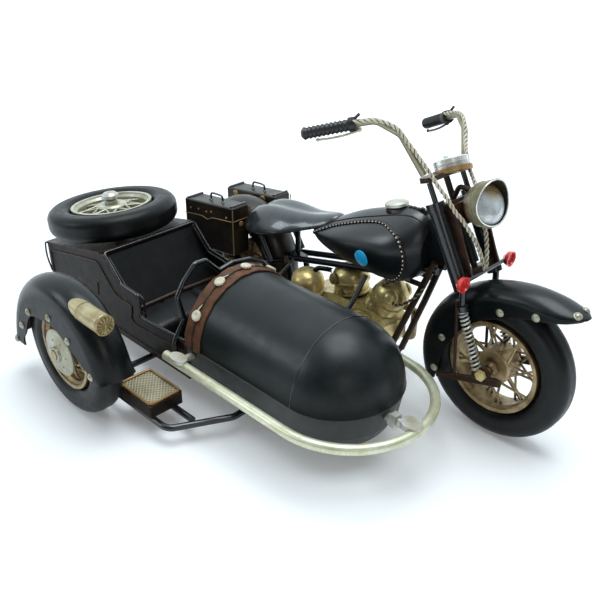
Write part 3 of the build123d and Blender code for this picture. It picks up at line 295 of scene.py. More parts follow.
LEATHER = worked("brown_leather", (0.135, 0.052, 0.020), (0.066, 0.027, 0.012), (0.40, 0.60), 0.45, 900,
                 gloss=0.30)
CORD = worked("dark_cord", (0.016, 0.011, 0.008), (0.030, 0.019, 0.012), (0.55, 0.75), 0.6, 1600)
CREAM = worked("cream_toggle", (0.66, 0.62, 0.50), (0.50, 0.44, 0.31), (0.30, 0.45), 0.25, 700)
STITCH = worked("white_stitch", (0.74, 0.73, 0.68), (0.55, 0.53, 0.47), (0.5, 0.7), 0.4, 2000)
BLUE = worked("blue_badge", (0.020, 0.56, 1.0), (0.015, 0.48, 0.96), (0.22, 0.34), 0.08, 400, coat=0.5)
SADDLE = worked("saddle_leather", (0.017, 0.023, 0.026), (0.032, 0.041, 0.045), (0.26, 0.36), 0.10, 800,
                coat=0.8, gloss=0.8)
CUSHION = worked("cushion_black", (0.0035, 0.0040, 0.0045), (0.0080, 0.0085, 0.0090), (0.26, 0.38), 0.18,
                 500, gloss=0.24)

LOOKS = {
    "front_tyre": TYRE, "rear_tyre": TYRE, "side_tyre": TYRE, "spare_tyre": TYRE,
    "front_wheel": GOLD_WHEEL, "rear_wheel": GOLD_WHEEL, "side_wheel": GOLD_WHEEL,
    "spare_wheel": SPARE_GOLD, "spare_hub_cap": SILVER,
    "front_axle": BRASS, "rear_axle": BRASS, "side_axle": GOLD_WHEEL,
    "front_fender": BLACK, "rear_fender": BOX_BLACK, "side_fender": BLACK,
    "fork_legs": GLOSS_BLACK, "fork_springs": SILVER, "fork_links": BROWN, "steering_stem": BROWN,
    "handlebar": BAR_SILVER, "handlebar_grips": GRIP, "instrument": DIAL,
    "headlamp": LAMP_SILVER, "headlamp_lens": GLASS, "signal_cups": RED,
    "frame_backbone": BLACK, "frame_down_tubes": BROWN, "frame_lower_rails": BLACK,
    "frame_rear_stays": BLACK,
    "crankcase": BRASS, "front_cylinder": BRASS, "rear_cylinder": BRASS, "air_cleaner": BRASS,
    "intake_pipe": BLACK, "exhaust_pipes": DARK_BRASS,
    "fuel_tank": TANK_BLACK, "fuel_cap": SILVER, "saddle": SADDLE, "saddle_post": GLOSS_BLACK,
    "luggage_box_right": BOX_BLACK, "luggage_box_left": BOX_BLACK,
    "hull_top": HULL_BLACK, "hull_nose": HULL_BLACK, "hull_tub": TUB_GREY,
    "body_box": BODY_BLACK, "rear_deck": BODY_BLACK, "seat_back": CUSHION, "seat_cushion": CUSHION,
    "cockpit_rim": GLOSS_BLACK, "windscreen_hoop": GLOSS_BLACK, "cockpit_strap": LEATHER,
    "bumper_bar": BUMPER, "bumper_brackets": SILVER,
    "chassis_outer_tube": GLOSS_BLACK, "chassis_cross_tube": GLOSS_BLACK, "chassis_rails": GLOSS_BLACK,
    "sidecar_struts": GLOSS_BLACK, "footrest_box": BODY_BLACK, "footrest_tread": MESH_GOLD,
    "side_lamp": LAMP_BRASS,
}
for node, look in LOOKS.items():
    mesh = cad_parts[node].data
    mesh.materials.clear()
    mesh.materials.append(look)

# ---- shapes ----
def carried(points, closed=False):
    """The unit tangent and two unit vectors square to it, carried along the points."""
    count = len(points)
    made = []
    side = None
    for number, point in enumerate(points):
        before = points[number - 1] if number or closed else point
        after = points[(number + 1) % count] if number < count - 1 or closed else point
        ahead = (after - before).normalized()
        if side is None:
            side = ahead.orthogonal()
        side = (side - ahead * side.dot(ahead)).normalized()
        made.append((ahead, side, ahead.cross(side)))
    return made


def flowing(points, steps=6):
    """A smooth line through the points."""
    made = []
    for number in range(len(points) - 1):
        a = points[max(number - 1, 0)]
        b, c = points[number], points[number + 1]
        d = points[min(number + 2, len(points) - 1)]
        for step in range(steps):
            t = step / steps
            made.append(0.5 * (2 * b + (c - a) * t + (2 * a - 5 * b + 4 * c - d) * t ** 2
                               + (3 * b - a - 3 * c + d) * t ** 3))
    made.append(points[-1].copy())
    return made


def spaced(points, gap_mm):
    """Points an even gap apart along a line, and the line's direction at each."""
    made = []
    left = 0.0
    for a, b in zip(points, points[1:]):
        length = (b - a).length
        while left <= length:
            made.append((a.lerp(b, left / length), (b - a).normalized()))
            left += gap_mm * MM
        left -= length
    return made


class Shape:
    """Small parts gathered into one mesh."""

    def __init__(self):
        self.verts = []
        self.faces = []
        self.looks = []

    def skin(self, rings, look=0, closed=False, capped=True):
        """A skin over rings of points, with a cap on each end."""
        first = len(self.verts)
        size = len(rings[0])
        for ring in rings:
            self.verts.extend(ring)
        for number in range(len(rings) if closed else len(rings) - 1):
            here = first + number * size
            there = first + (number + 1) % len(rings) * size
            for point in range(size):
                after = (point + 1) % size
                self.faces.append((here + point, here + after, there + after, there + point))
                self.looks.append(look)
        if capped and not closed:
            last = first + (len(rings) - 1) * size
            self.faces.append(tuple(first + point for point in reversed(range(size))))
            self.faces.append(tuple(last + point for point in range(size)))
            self.looks += [look, look]

    def tube(self, points, radius, look=0, sides=10, closed=False):
        """A round bar along a line; radius in mm, one or one a point."""
        rings = []
        for number, (ahead, side, over) in enumerate(carried(points, closed)):
            size = (radius[number] if isinstance(radius, (list, tuple)) else radius) * MM
            rings.append([points[number] + (side * math.cos(turn) + over * math.sin(turn)) * size
                          for turn in (2 * math.pi * step / sides for step in range(sides))])
        self.skin(rings, look, closed)

    def strands(self, points, strand, lay, pitch, looks=(0, 1), sides=6):
        """Strands wound round a line, each with its radius and look; sizes in mm."""
        line = [point for point, ahead in spaced(points, pitch / 10)]
        frames = carried(line)
        for number, (radius, look) in enumerate(zip(strand, looks)):
            start = 2 * math.pi * number / len(looks)
            wound = []
            for step, (point, (ahead, side, over)) in enumerate(zip(line, frames)):
                turn = start + 2 * math.pi * step / 10
                wound.append(point + (side * math.cos(turn) + over * math.sin(turn)) * lay * MM)
            self.tube(wound, radius, look, sides)

    def turned(self, centre, axis, profile, look=0, sides=24):
        """A turned part: profile points are (mm along the axis, mm of radius)."""
        axis = Vector(axis).normalized()
        side = axis.orthogonal().normalized()
        over = axis.cross(side)
        turns = [2 * math.pi * step / sides for step in range(sides)]
        self.skin([[centre + axis * (along * MM) + (side * math.cos(turn) + over * math.sin(turn))
                    * (max(radius, 0.02) * MM) for turn in turns] for along, radius in profile], look)

    def slab(self, outline, rise, look=0, inset=0.9):
        """A flat part with softened edges; rise is a vector, inset a scale about the middle."""
        middle = sum(outline, Vector()) / len(outline)
        near = [middle + (point - middle) * inset for point in outline]
        self.skin([[point for point in near], [point + rise * 0.2 for point in outline],
                   [point + rise * 0.8 for point in outline], [point + rise for point in near]], look)

    def dome(self, centre, axis, radius, look=0, sides=16):
        """A round-headed rivet that stands on centre."""
        self.turned(centre, axis, ((-0.5, radius), (0.35, radius), (0.5, 0.82 * radius),
                                   (0.55 + 0.2 * radius, 0.68 * radius),
                                   (0.6 + 0.36 * radius, 0.3 * radius), (0.6 + 0.4 * radius, 0)),
                    look, sides)

    def piece(self, name, body, slot, *looks, angle=38, replaces=()):
        """The finished object, riding on its body."""
        mesh = bpy.data.meshes.new(name)
        mesh.from_pydata(self.verts, [], self.faces)
        for look in looks:
            mesh.materials.append(look)
        mesh.polygons.foreach_set("material_index", self.looks)
        mesh.polygons.foreach_set("use_smooth", [True] * len(self.faces))
        shaped = bmesh.new()
        shaped.from_mesh(mesh)
        bmesh.ops.recalc_face_normals(shaped, faces=shaped.faces)
        shaped.to_mesh(mesh)
        shaped.free()
        mesh.set_sharp_from_angle(angle=math.radians(angle))
        made = bpy.data.objects.new(name, mesh)
        bpy.context.scene.collection.objects.link(made)
        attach(made, body)
        if replaces:
            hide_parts(*replaces)
        return made


def surface_point(node, start, ahead):
    """Where a line from start first meets a CAD node, and the node's outward normal there."""
    hit, place, normal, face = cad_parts[node].ray_cast(start, Vector(ahead).normalized())
    if not hit:
        raise RuntimeError(f"the line from {start} misses {node}")
    return place, normal


def mirrored(points, middle):
    """The points on the other side of an upright plane, middle mm to the left."""
    plane = (FRONT_Y + middle) * MM
    return [Vector((point.x, 2 * plane - point.y, point.z)) for point in points]


# ---- fork and handlebar ----
def coil_springs():
    coils = Shape()
    for side in (-18, 18):
        top, foot = at(-19.6, side, 86.2), at(-5.2, side, 51.6)
        line = [top.lerp(foot, step / 200) for step in range(201)]
        wound = []
        for step, (point, (ahead, across, over)) in enumerate(zip(line, carried(line))):
            turn = 2 * math.pi * 14 * step / 200
            wound.append(point + (across * math.cos(turn) + over * math.sin(turn)) * 2.45 * MM)
        coils.tube(wound, 0.72, 0, 7)
        coils.tube([top, foot], 1.5, 1, 12)
        for end in (0, 200):
            coils.turned(line[end], foot - top, ((-0.8, 2.2), (-0.5, 3.0), (0.5, 3.0), (0.8, 2.2)), 0)
    coils.piece("coil_springs", "fork", "antique_silver", SILVER, BROWN, replaces=("fork_springs",))


BAR_LINE = ((-55.4, 21.6, 162.6), (-66.5, 31.8, 181.8), (-72.5, 37.2, 188.0), (-80.2, 42.6, 189.4),
            (-88.6, 46.6, 187.4), (-92.0, 48.2, 186.2))


def rolled(point):
    """A point on top of the fork, tipped as the handlebar is."""
    return BAR_PIVOT + BAR_TURN @ (point - BAR_PIVOT)


def bar_point(ahead, left, up, side):
    return rolled(at(ahead, side * left, up))


# A rope's strands, each with its radius, and their looks: cream with thin dark ones between.
ROPE = (0.85, 0.40, 0.85, 0.40)
ROPE_LOOKS = (0, 1, 0, 1)
ROPE_LAY = 0.60
ROPE_PITCH = 7.2


def control_cables():
    """Twisted cables that lie along the bars, then run down to the fork and the lamp."""
    cables = Shape()
    for side in (-1, 1):
        bar = flowing([bar_point(*point, side) for point in BAR_LINE], 8)
        along = []
        for point, (ahead, across, over) in zip(bar, carried(bar)):
            out = Vector((0.50, -0.60, 0.62))
            out = (out - ahead * out.dot(ahead)).normalized()
            along.append(point + out * 3.1 * MM)
        if side < 0:
            drop = [at(-17.6, -2.6, 110.6), at(-19.4, -4.6, 118.0), at(-22.6, -8.0, 128.4),
                    at(-29.6, -13.0, 141.2), at(-33.6, -16.0, 146.6), at(-39.4, -18.4, 154.8),
                    at(-45.6, -20.4, 162.0), at(-52.0, -22.4, 170.2)]
            along = along[10:]
        else:
            drop = [at(-36.4, 7.6, 156.0), at(-38.6, 9.0, 157.4), at(-43.0, 12.6, 159.4),
                    at(-47.6, 15.6, 162.4), at(-52.4, 18.6, 168.4)]
            along = along[6:]
        route = flowing(drop + along[::4] + [along[-1]], 6)
        cables.strands(route, ROPE, ROPE_LAY, ROPE_PITCH, ROPE_LOOKS)
    route = flowing([at(-17.4, -1.4, 110.8), at(-19.4, 0.6, 119.0), at(-23.4, 3.2, 131.0),
                     at(-29.6, 5.4, 140.4)], 6)
    cables.strands(route, ROPE, ROPE_LAY, ROPE_PITCH, ROPE_LOOKS)
    cables.piece("control_cables", "fork", "antique_silver", CREAM, CORD)


def levers():
    """A cream lever under the right grip and a black one under the left, with their clamps."""
    silver, black = Shape(), Shape()
    tip = (-115.3, 61.1, 176.8)
    hand = (-91.0, 47.6, 186.6)
    for side, made in ((-1, silver), (1, black)):
        inner, outer = bar_point(*hand, side), bar_point(*tip, side)
        ahead = (outer - inner).normalized()
        over = Vector((0.45, side * 0.15, 0.9))
        over = (over - ahead * over.dot(ahead)).normalized()
        pivot = inner + ahead * 1.2 * MM + over * -4.6 * MM
        line = [pivot - ahead * 2.4 * MM, pivot + over * -1.0 * MM,
                pivot + ahead * 8 * MM - over * 2.2 * MM, pivot + ahead * 17 * MM - over * 2.4 * MM,
                pivot + ahead * 24 * MM - over * 1.8 * MM]
        made.tube(flowing(line, 6), 0.75, 0, 8)
        made.turned(line[0], ahead, ((-1.5, 0.4), (-1.1, 1.2), (0, 1.6), (1.1, 1.2), (1.5, 0.4)), 0, 14)
        made.turned(line[-1], ahead, ((-1.0, 0.5), (-0.6, 1.0), (0.2, 1.2), (0.9, 0.7), (1.2, 0.1)), 0, 14)
        black.turned(inner, ahead, ((-0.6, 2.2), (-0.4, 4.3), (2.6, 4.3), (2.8, 2.2)), 0, 20)
        black.tube([inner + ahead * 1.2 * MM, pivot], 1.5, 0, 10)
        black.tube([inner + over * 3.4 * MM, inner + over * 6.4 * MM - ahead * 4 * MM], 0.9, 0, 8)
    silver.piece("clutch_lever", "fork", "antique_silver", CREAM)
    black.piece("bar_clamps_and_brake_lever", "fork", "black_grip", GRIP)


def lamp_edge():
    """The bright edge round the lamp's hood, and a collar behind its mouth."""
    trim = Shape()
    ring = []
    for step in range(72):
        turn = 2 * math.pi * step / 72
        rise = 1 + math.cos(turn)
        ahead = 0.6 - 0.2 * rise + 2.2 * rise ** 2
        spot = Vector((ahead, (LAMP_R - 0.6) * math.sin(turn), (LAMP_R - 0.6) * math.cos(turn))) * MM
        ring.append(LAMP_CENTRE + LAMP_TURN @ spot)
    trim.tube(ring, 0.5, 0, 8, closed=True)
    trim.turned(LAMP_CENTRE, LAMP_AXIS, ((-2.6, LAMP_R - 0.4), (-2.4, LAMP_R + 0.3),
                                         (-1.4, LAMP_R + 0.3), (-1.2, LAMP_R - 0.4)), 1, 48)
    trim.piece("lamp_edge", "fork", "antique_silver", BRIGHT, LAMP_SILVER)


def dial_bezel():
    """The dial's gold flange, its bezel and face, and the knob on it."""
    dial = Shape()
    dial.turned(DIAL_FOOT, DIAL_AXIS, ((2.6, 11.8), (2.9, 12.5), (0.2, 12.5), (-0.2, 11.8)), 1, 40)
    dial.turned(DIAL_FOOT, DIAL_AXIS, ((5.4, 10.2), (5.6, 10.8), (8.2, 10.8), (9.0, 10.0), (9.1, 8.6),
                                       (8.7, 8.0), (8.8, 0)), 0, 40)
    to_knob = (BAR_TURN @ Vector((-0.5, 0.3, -0.25))).normalized()
    dial.turned(DIAL_FOOT + to_knob * 4.6 * MM, DIAL_AXIS,
                ((8, 1.7), (10.8, 1.7), (11.6, 1.2), (11.8, 0)), 0, 14)
    dial.piece("dial_bezel_and_knob", "fork", "antique_silver", BRIGHT, EDGE_GOLD)


# Places (ahead, up) of the rivets along the valances of the front fender and the side fender.
FRONT_RIVETS = ((2.4, 92.5), (25.4, 98.7), (-35.9, 58.7), (-39.5, 33.7))
SIDE_RIVETS = ((-243.2, 64.0), (-256.7, 48.1), (-214.9, 71.2), (-193.4, 63.1), (-170.4, 47.2),
               (-269.4, 32.0))
FRONT_RIVET_R = 2.6
SIDE_RIVET_R = 2.7


def rivets():
    """Domed rivets along both sides of the front fender, at its tip, and along the side fender."""
    front, side = Shape(), Shape()
    for ahead, up in FRONT_RIVETS:
        for turn in (-1, 1):
            place, normal = surface_point("front_fender", at(ahead, turn * 40, up), (0, -turn, 0))
            front.dome(place, normal, FRONT_RIVET_R)
    for turn in (-1, 1):
        start = at(54.0, turn * 12.5, 130.0)
        place, normal = surface_point("front_fender", start, (-0.29, -turn * 0.28, -0.91))
        front.dome(place, normal, FRONT_RIVET_R)
    for ahead, up in SIDE_RIVETS:
        place, normal = surface_point("side_fender", at(ahead, SIDE_Y - 40, up), (0, 1, 0))
        side.dome(place, normal, SIDE_RIVET_R)
    front.piece("front_fender_rivets", "fork", "antique_silver", HUB_SILVER)
    side.piece("side_fender_rivets", "motorcycle", "antique_silver", HUB_SILVER)


# ---- tank and saddle ----
# The side bulge's edge (ahead, up), from the saddle over the top and round the front.
TANK_SEAM = ((-152.5, 95.0), (-145.5, 99.6), (-134.5, 105.8), (-120.5, 112.2), (-107.0, 117.6),
             (-94.5, 121.4), (-87.0, 122.2), (-79.5, 120.8), (-73.0, 117.6), (-68.8, 112.4),
             (-66.9, 106.0), (-67.2, 99.0), (-69.8, 92.4), (-75.5, 86.6), (-84.0, 84.4), (-92.0, 84.2))
BADGE = (-98.1, 97.2)
BADGE_R = 5.7
STITCH_GAP = 3.2


def scalloped_seam(seams, line, out):
    """A black bead that swells between its white stitches."""
    bead = [place for place, ahead in spaced(line, STITCH_GAP / 5)]
    seams.tube(bead, [1.34 + 0.24 * math.sin(math.pi * 0.4 * step) for step in range(len(bead))], 0, 8)
    for place, ahead in spaced(line, STITCH_GAP):
        seams.tube([place + out * 1.10 * MM - ahead * 0.7 * MM, place + out * 1.45 * MM,
                    place + out * 1.10 * MM + ahead * 0.7 * MM], (0.25, 0.52, 0.25), 1, 6)


def tank_side(side, ahead, up):
    """The point and the outward direction on one side of the tank."""
    return surface_point("fuel_tank", at(ahead, side * 40, up), (0, -side, 0))


def tank_top(ahead, left):
    """The point on top of the tank."""
    place, normal = surface_point("fuel_tank", at(ahead, left, 160), (0, 0, -1))
    return place


def tank_stitching():
    """A stitched bead round each side bulge of the tank and down its nose, and a crease on each side."""
    seams = Shape()
    for side in (-1, 1):
        line = [tank_side(side, *spot)[0] for spot in TANK_SEAM]
        scalloped_seam(seams, flowing(line, 6), Vector((0, side, 0.35)).normalized())
    spine = [tank_top(ahead, 0) for ahead in (-79.0, -72.0, -66.0, -61.6)]
    scalloped_seam(seams, flowing(spine, 6), Vector((0.3, 0, 0.95)))
    for side in (-1, 1):
        edge = []
        for ahead in (-146.0, -136.0, -124.0, -112.0, -100.0, -90.0, -80.0, -71.0, -64.5):
            spread = 4.2 + 5.0 * math.sin(math.pi * (ahead + 158.0) / 104.0)
            edge.append(tank_top(ahead, side * spread))
        seams.tube(flowing(edge, 6), 0.55, 0, 8)
    seams.piece("tank_stitching", "motorcycle", "black_paint", BLACK, STITCH)


def tank_fittings():
    """The dark collar under the cap, and a round badge on each side."""
    trim = Shape()
    trim.turned(at(-88.0, 0, 126.6), (-0.2, 0, 0.98),
                ((-2.0, 7.6), (1.2, 8.3), (3.6, 8.0), (4.2, 6.6)), 0, 28)
    trim.piece("fuel_cap_collar", "motorcycle", "black_paint", GLOSS_BLACK)
    badge = Shape()
    for side in (-1, 1):
        place, normal = tank_side(side, *BADGE)
        badge.turned(place, normal,
                     ((-0.8, BADGE_R), (0.1, BADGE_R), (0.4, BADGE_R - 0.5), (0.45, 0)), 0, 36)
    badge.piece("tank_badges", "motorcycle", "black_paint", BLUE)


SADDLE_LINE = (
    # ahead, rim height, lobe height, groove height and half width of each cross-section
    (-225.0, 81.6, 85.5, 84.8, 13.0),
    (-223.2, 79.2, 91.0, 89.0, 18.6),
    (-218.0, 78.2, 96.2, 93.0, 22.0),
    (-209.0, 79.0, 100.6, 96.4, 23.8),
    (-199.0, 81.6, 102.8, 98.6, 24.2),
    (-189.0, 84.2, 103.4, 99.8, 23.8),
    (-180.0, 86.8, 103.6, 100.8, 22.2),
    (-172.0, 89.4, 103.8, 101.8, 19.2),
    (-163.0, 93.2, 104.6, 103.4, 15.0),
    (-153.0, 97.0, 106.8, 106.4, 13.0),
    (-145.0, 100.6, 108.8, 108.8, 11.0),
    (-140.6, 103.0, 109.4, 109.4, 8.6),
    (-137.6, 105.8, 108.8, 108.8, 5.0),
)


def saddle_pan():
    """A moulded saddle: two lobes, a groove between them, a narrow nose and a rolled rim."""
    seat = Shape()
    rings = []
    across = 18
    for ahead, rim, lobe, groove, half in SADDLE_LINE:
        top, under = [], []
        for step in range(across + 1):
            u = -1 + 2 * step / across
            hump = (1 - abs(u) ** 3.2)
            lift = groove + (lobe - groove) * math.sin(min(abs(u) / 0.55, 1) * math.pi / 2)
            up = rim + 1.6 + (lift - rim - 1.6) * hump
            top.append(at(ahead, u * half, up))
            under.append(at(ahead, u * half * 0.965, max(rim, rim + (up - rim - 3.0) * 0.82)))
        rings.append(top + under[::-1])
    seat.skin(rings)
    made = seat.piece("saddle_pan", "motorcycle", "black_paint", SADDLE, angle=80, replaces=("saddle",))
    smooth = made.modifiers.new("smooth", "SUBSURF")
    smooth.levels = smooth.render_levels = 1


# ---- luggage ----
BOX_TOPS = ((-1, 98.0), (1, 95.5))  # each side's lid height at the front
BOX_FRONT = -221.0
BOX_FACES = (13.8, 30.5)  # the faces next to the fender and away from it
BOX_MIDDLE = 22.15
LID_FALL = 7.5 / 59


def lid_height(top, ahead):
    """How high the sloping lid is, so far ahead."""
    return top + (ahead - BOX_FRONT) * LID_FALL


def luggage_faces(gold, black, side, top):
    """Piping, studs, discs, a strap and a buckle on one box's two long faces."""
    for left in BOX_FACES:
        outward = 1 if left == BOX_FACES[1] else -1
        face = side * (left + 0.25 * outward)
        gold.tube([at(-221.6, face, top - 11.0), at(-245, face, top - 14.4), at(-251, face, top - 17.6),
                   at(-258, face, top - 16.4), at(-279.6, face, top - 19.6)], 0.38, 0, 6)
        for ahead, drop in ((-228, 9.4), (-246, 9.8), (-252, 11.4), (-262, 12.0), (-272, 13.6)):
            gold.dome(at(ahead, side * left, top - drop), Vector((0, side * outward, 0)), 0.95, 0, 10)
    for ahead, drop in ((-268.0, 10.069), (-235.0, 5.878)):
        disc = at(ahead, side * BOX_FACES[0], top - drop)
        gold.turned(disc, (0, -side, 0), ((-0.4, 3.1), (0.5, 3.1), (0.9, 2.3), (0.6, 1.5), (1.0, 0)), 0, 24)
    black.tube([at(-266.0, side * 13.7, top - 9.9), at(-237.0, side * 13.7, top - 6.2)], 0.75, 0, 8)
    corners = ((-2.2, -1.6), (2.2, -1.0), (2.2, 1.4), (-2.2, 0.8))
    gold.tube([at(-249.0 + x, side * 13.2, top - 7.4 + z) for x, z in corners], 0.45, 0, 6, closed=True)


def luggage_front(gold, side, top):
    """Piping down the front's edges and under the lid, and a round lock."""
    for left in (30.6, 13.7):
        gold.tube([at(-220.6, side * left, top - 2), at(-220.6, side * left, 59.0)], 0.42, 0, 6)
    gold.tube([at(-220.8, side * 14, top - 11), at(-220.8, side * 30.4, top - 11)], 0.38, 0, 6)
    gold.turned(at(-222.0, side * BOX_MIDDLE, top - 14.5), (1, 0, 0.1),
                ((0, 2.2), (1.5, 2.2), (1.9, 1.6), (1.7, 1.0), (2.0, 0)), 0, 20)


def luggage_handle(black, side, top):
    """A bar along each end of the lid and a square wire handle on its feet."""
    black.tube([at(-276.5, side * left, lid_height(top, -276.5)) for left in (14.6, 29.6)], 1.3, 0, 10)
    black.tube([at(-223.5, side * left, top - 0.2) for left in (14.6, 29.6)], 1.2, 0, 10)
    ahead, middle = -249.0, side * BOX_MIDDLE
    up = lid_height(top, ahead)
    black.tube(flowing([at(ahead + 7.0, middle, up - 0.4), at(ahead + 6.9, middle, up + 4.2),
                        at(ahead + 5.0, middle, up + 5.6), at(ahead - 4.8, middle, up + 5.0),
                        at(ahead - 6.9, middle, up + 3.2), at(ahead - 7.0, middle, up - 1.2)], 6), 0.8, 0, 8)
    for foot in (-7.0, 7.0):
        black.turned(at(ahead + foot, middle, up - 1.0 + foot * 0.1), (0.12, 0, 1),
                     ((0, 1.9), (1.2, 1.9), (1.8, 1.2), (1.9, 0.4)), 0, 12)


def luggage_trim():
    """The gold piping and studs and the black handles of both luggage boxes."""
    gold, black = Shape(), Shape()
    for side, top in BOX_TOPS:
        luggage_faces(gold, black, side, top)
        luggage_front(gold, side, top)
        luggage_handle(black, side, top)
    gold.piece("luggage_piping_and_studs", "motorcycle", "gold_wheel", EDGE_GOLD)
    black.piece("luggage_handles", "motorcycle", "black_paint", GLOSS_BLACK)


# ---- sidecar ----
def ring_point(ahead, turn, radius):
    """A point round the hull's axis: turn is degrees from the right-hand side, over the top."""
    angle = math.radians(turn)
    return at(ahead, HULL_Y - radius * math.cos(angle), BELT_Z + radius * math.sin(angle))


TOGGLE_TURNS = (32, 67, 97, 129, 160)


def leather_band():
    """The band round the cockpit's front edge: rolled edges, a cord in a groove, toggles on it."""
    band = Shape()
    section = ((-160.4, 0.15), (-160.6, 0.9), (-160.0, 1.5), (-158.8, 1.35), (-154.0, 1.35),
               (-153.4, 1.0), (-152.6, 1.0), (-152.0, 1.35), (-146.8, 1.35), (-145.7, 1.5),
               (-145.1, 0.9), (-145.3, 0.15))
    rings = []
    for step in range(73):
        turn = 180 * step / 72
        swell = 0.12 * math.sin(step * 1.7) + 0.08 * math.sin(step * 0.63)
        shift = 0.25 * math.sin(step * 0.9)
        rings.append([ring_point(ahead + shift, turn, HULL_R + out + swell * (out > 0.5))
                      for ahead, out in section])
    band.skin(rings, 0)
    band.tube([ring_point(-153.0 + 0.3 * math.sin(step * 0.7), 180 * step / 72, HULL_R + 1.45)
               for step in range(73)], 0.55, 1, 8)
    for turn in TOGGLE_TURNS:
        out = ring_point(0, turn, 1.0) - ring_point(0, turn, 0.0)
        band.turned(ring_point(-153.0, turn, HULL_R + 1.2), out,
                    ((0, 2.6), (0.5, 3.6), (1.3, 3.9), (2.1, 3.4), (2.5, 2.4), (2.0, 1.3), (1.8, 0)), 2, 24)
        band.tube([ring_point(-153.4, turn + 3.6, HULL_R + 2.8), ring_point(-153.2, turn + 7.0, HULL_R + 2.3),
                   ring_point(-153.0, turn + 10.5, HULL_R + 1.7)], (0.55, 0.45, 0.3), 2, 7)
    band.piece("leather_band", "motorcycle", "brown_leather", LEATHER, CORD, CREAM, angle=60,
               replaces=("cockpit_strap",))


def hull_lines():
    """The pressed seam round the nose and the bead along the belt."""
    dark, bead = Shape(), Shape()
    dark.tube([ring_point(-62.0, 3.6 * step, HULL_R + 0.02) for step in range(51)], 0.38, 0, 6)
    line = [at(-159.0, HULL_Y - HULL_R, BELT_Z)]
    for step in range(37):
        angle = math.radians(-90 + 5 * step)
        line.append(at(-62.0 + 40.5 * math.cos(angle), HULL_Y + HULL_R * math.sin(angle), BELT_Z))
    line.append(at(-159.0, HULL_Y + HULL_R, BELT_Z))
    bead.tube(line, 0.5, 0, 6)
    dark.piece("nose_seam", "motorcycle", "black_paint", GLOSS_BLACK)
    bead.piece("belt_bead", "motorcycle", "grey_paint", TUB_GREY)


def body_trim():
    """Pressed outlines on the body's sides, a second rolled wire in the cockpit, and corner rails."""
    pressed, wires = Shape(), Shape()
    outline = ((-333, 57.0), (-272, 69.5), (-262, 68.5), (-243, 51.5), (-224, 49.5), (-222, 36.0),
               (-166, 39.0))
    for side in (-1, 1):
        face = HULL_Y + side * 41.6
        pressed.tube(flowing([at(ahead, face, up) for ahead, up in outline], 3), 0.7, 0, 8)
        pressed.tube([at(-163, face, 22.5), at(-322, face, 22.5), at(-334, face, 36), at(-335, face, 56)],
                     0.6, 0, 8)
        hook = [at(-268, face, 52), at(-268, face, 45), at(-270, face, 41), at(-274, face, 40.5)]
        pressed.tube(flowing(hook, 5), (0.5,) * 15 + (0.3,), 0, 8)
        inside = HULL_Y + side * 38.6
        wires.tube(flowing([at(-163.5, inside, 45.6), at(-207, inside, 43.4), at(-211.5, inside, 47.0),
                            at(-212.5, inside, 57.5), at(-218, inside, 60.0), at(-233, inside, 61.6),
                            at(-238, inside, 64.2), at(-252.5, inside, 77.0)], 5), 0.75, 0, 8)
    rail = [at(-336.5, HULL_Y - 42.0, 62.0), at(-338.5, HULL_Y - 43.4, 61.4),
            at(-338.5, HULL_Y - 43.6, 50.0), at(-336.0, HULL_Y - 42.4, 38.0)]
    wires.tube(flowing(rail, 6), 0.7, 0, 8)
    wires.tube(flowing(mirrored(rail, HULL_Y), 6), 0.7, 0, 8)
    pressed.piece("body_pressings", "motorcycle", "black_paint", BODY_BLACK)
    wires.piece("cockpit_wires", "motorcycle", "black_paint", GLOSS_BLACK)


def seat():
    """A crowned cushion with two sewn channels and piping, and a slightly crowned back."""
    pad = Shape()
    rings = []
    across = 28
    half = 38.0
    profile = ((-236.0, 24.6), (-236.0, 36.0), (-230.0, 40.6), (-224.0, 41.0), (-216.0, 40.2), (-208.0, 38.8),
               (-203.4, 36.6), (-201.0, 32.6), (-200.6, 28.0), (-201.2, 24.6))
    line = flowing([Vector((ahead, 0, up)) for ahead, up in profile], 4)
    for step in range(across + 1):
        u = -1 + 2 * step / across
        pull = abs(u) ** 6
        channel = max(0.0, 1 - (abs(abs(u) - 0.34) / 0.045) ** 2) * 0.9
        ring = []
        for point in line:
            up = point.z
            ahead = point.x
            crown = max(0.0, (up - 26.0) / 15.0)
            up += crown * (0.9 * (1 - u * u) - 1.6 * pull - channel)
            ahead -= max(0.0, (ahead + 212.0) / 12.0) * (1.2 * pull + 0.6 * channel)
            ring.append(at(ahead, HULL_Y + u * half, up))
        rings.append(ring)
    pad.skin(rings, 0)
    made = pad.piece("seat_pad", "motorcycle", "black_paint", CUSHION, angle=70,
                     replaces=("seat_cushion",))
    seam = Shape()
    for ahead, half, up, crown, thick in ((-228.8, 38.4, 42.2, 1.0, 1.5), (-255.4, 39.4, 79.2, 0.2, 0.7)):
        seam.tube([at(ahead, HULL_Y - half, up), at(ahead + 0.2, HULL_Y, up + crown),
                   at(ahead, HULL_Y + half, up)], thick, 0, 8)
    seam.piece("seat_seams", "motorcycle", "brown_paint", BROWN)


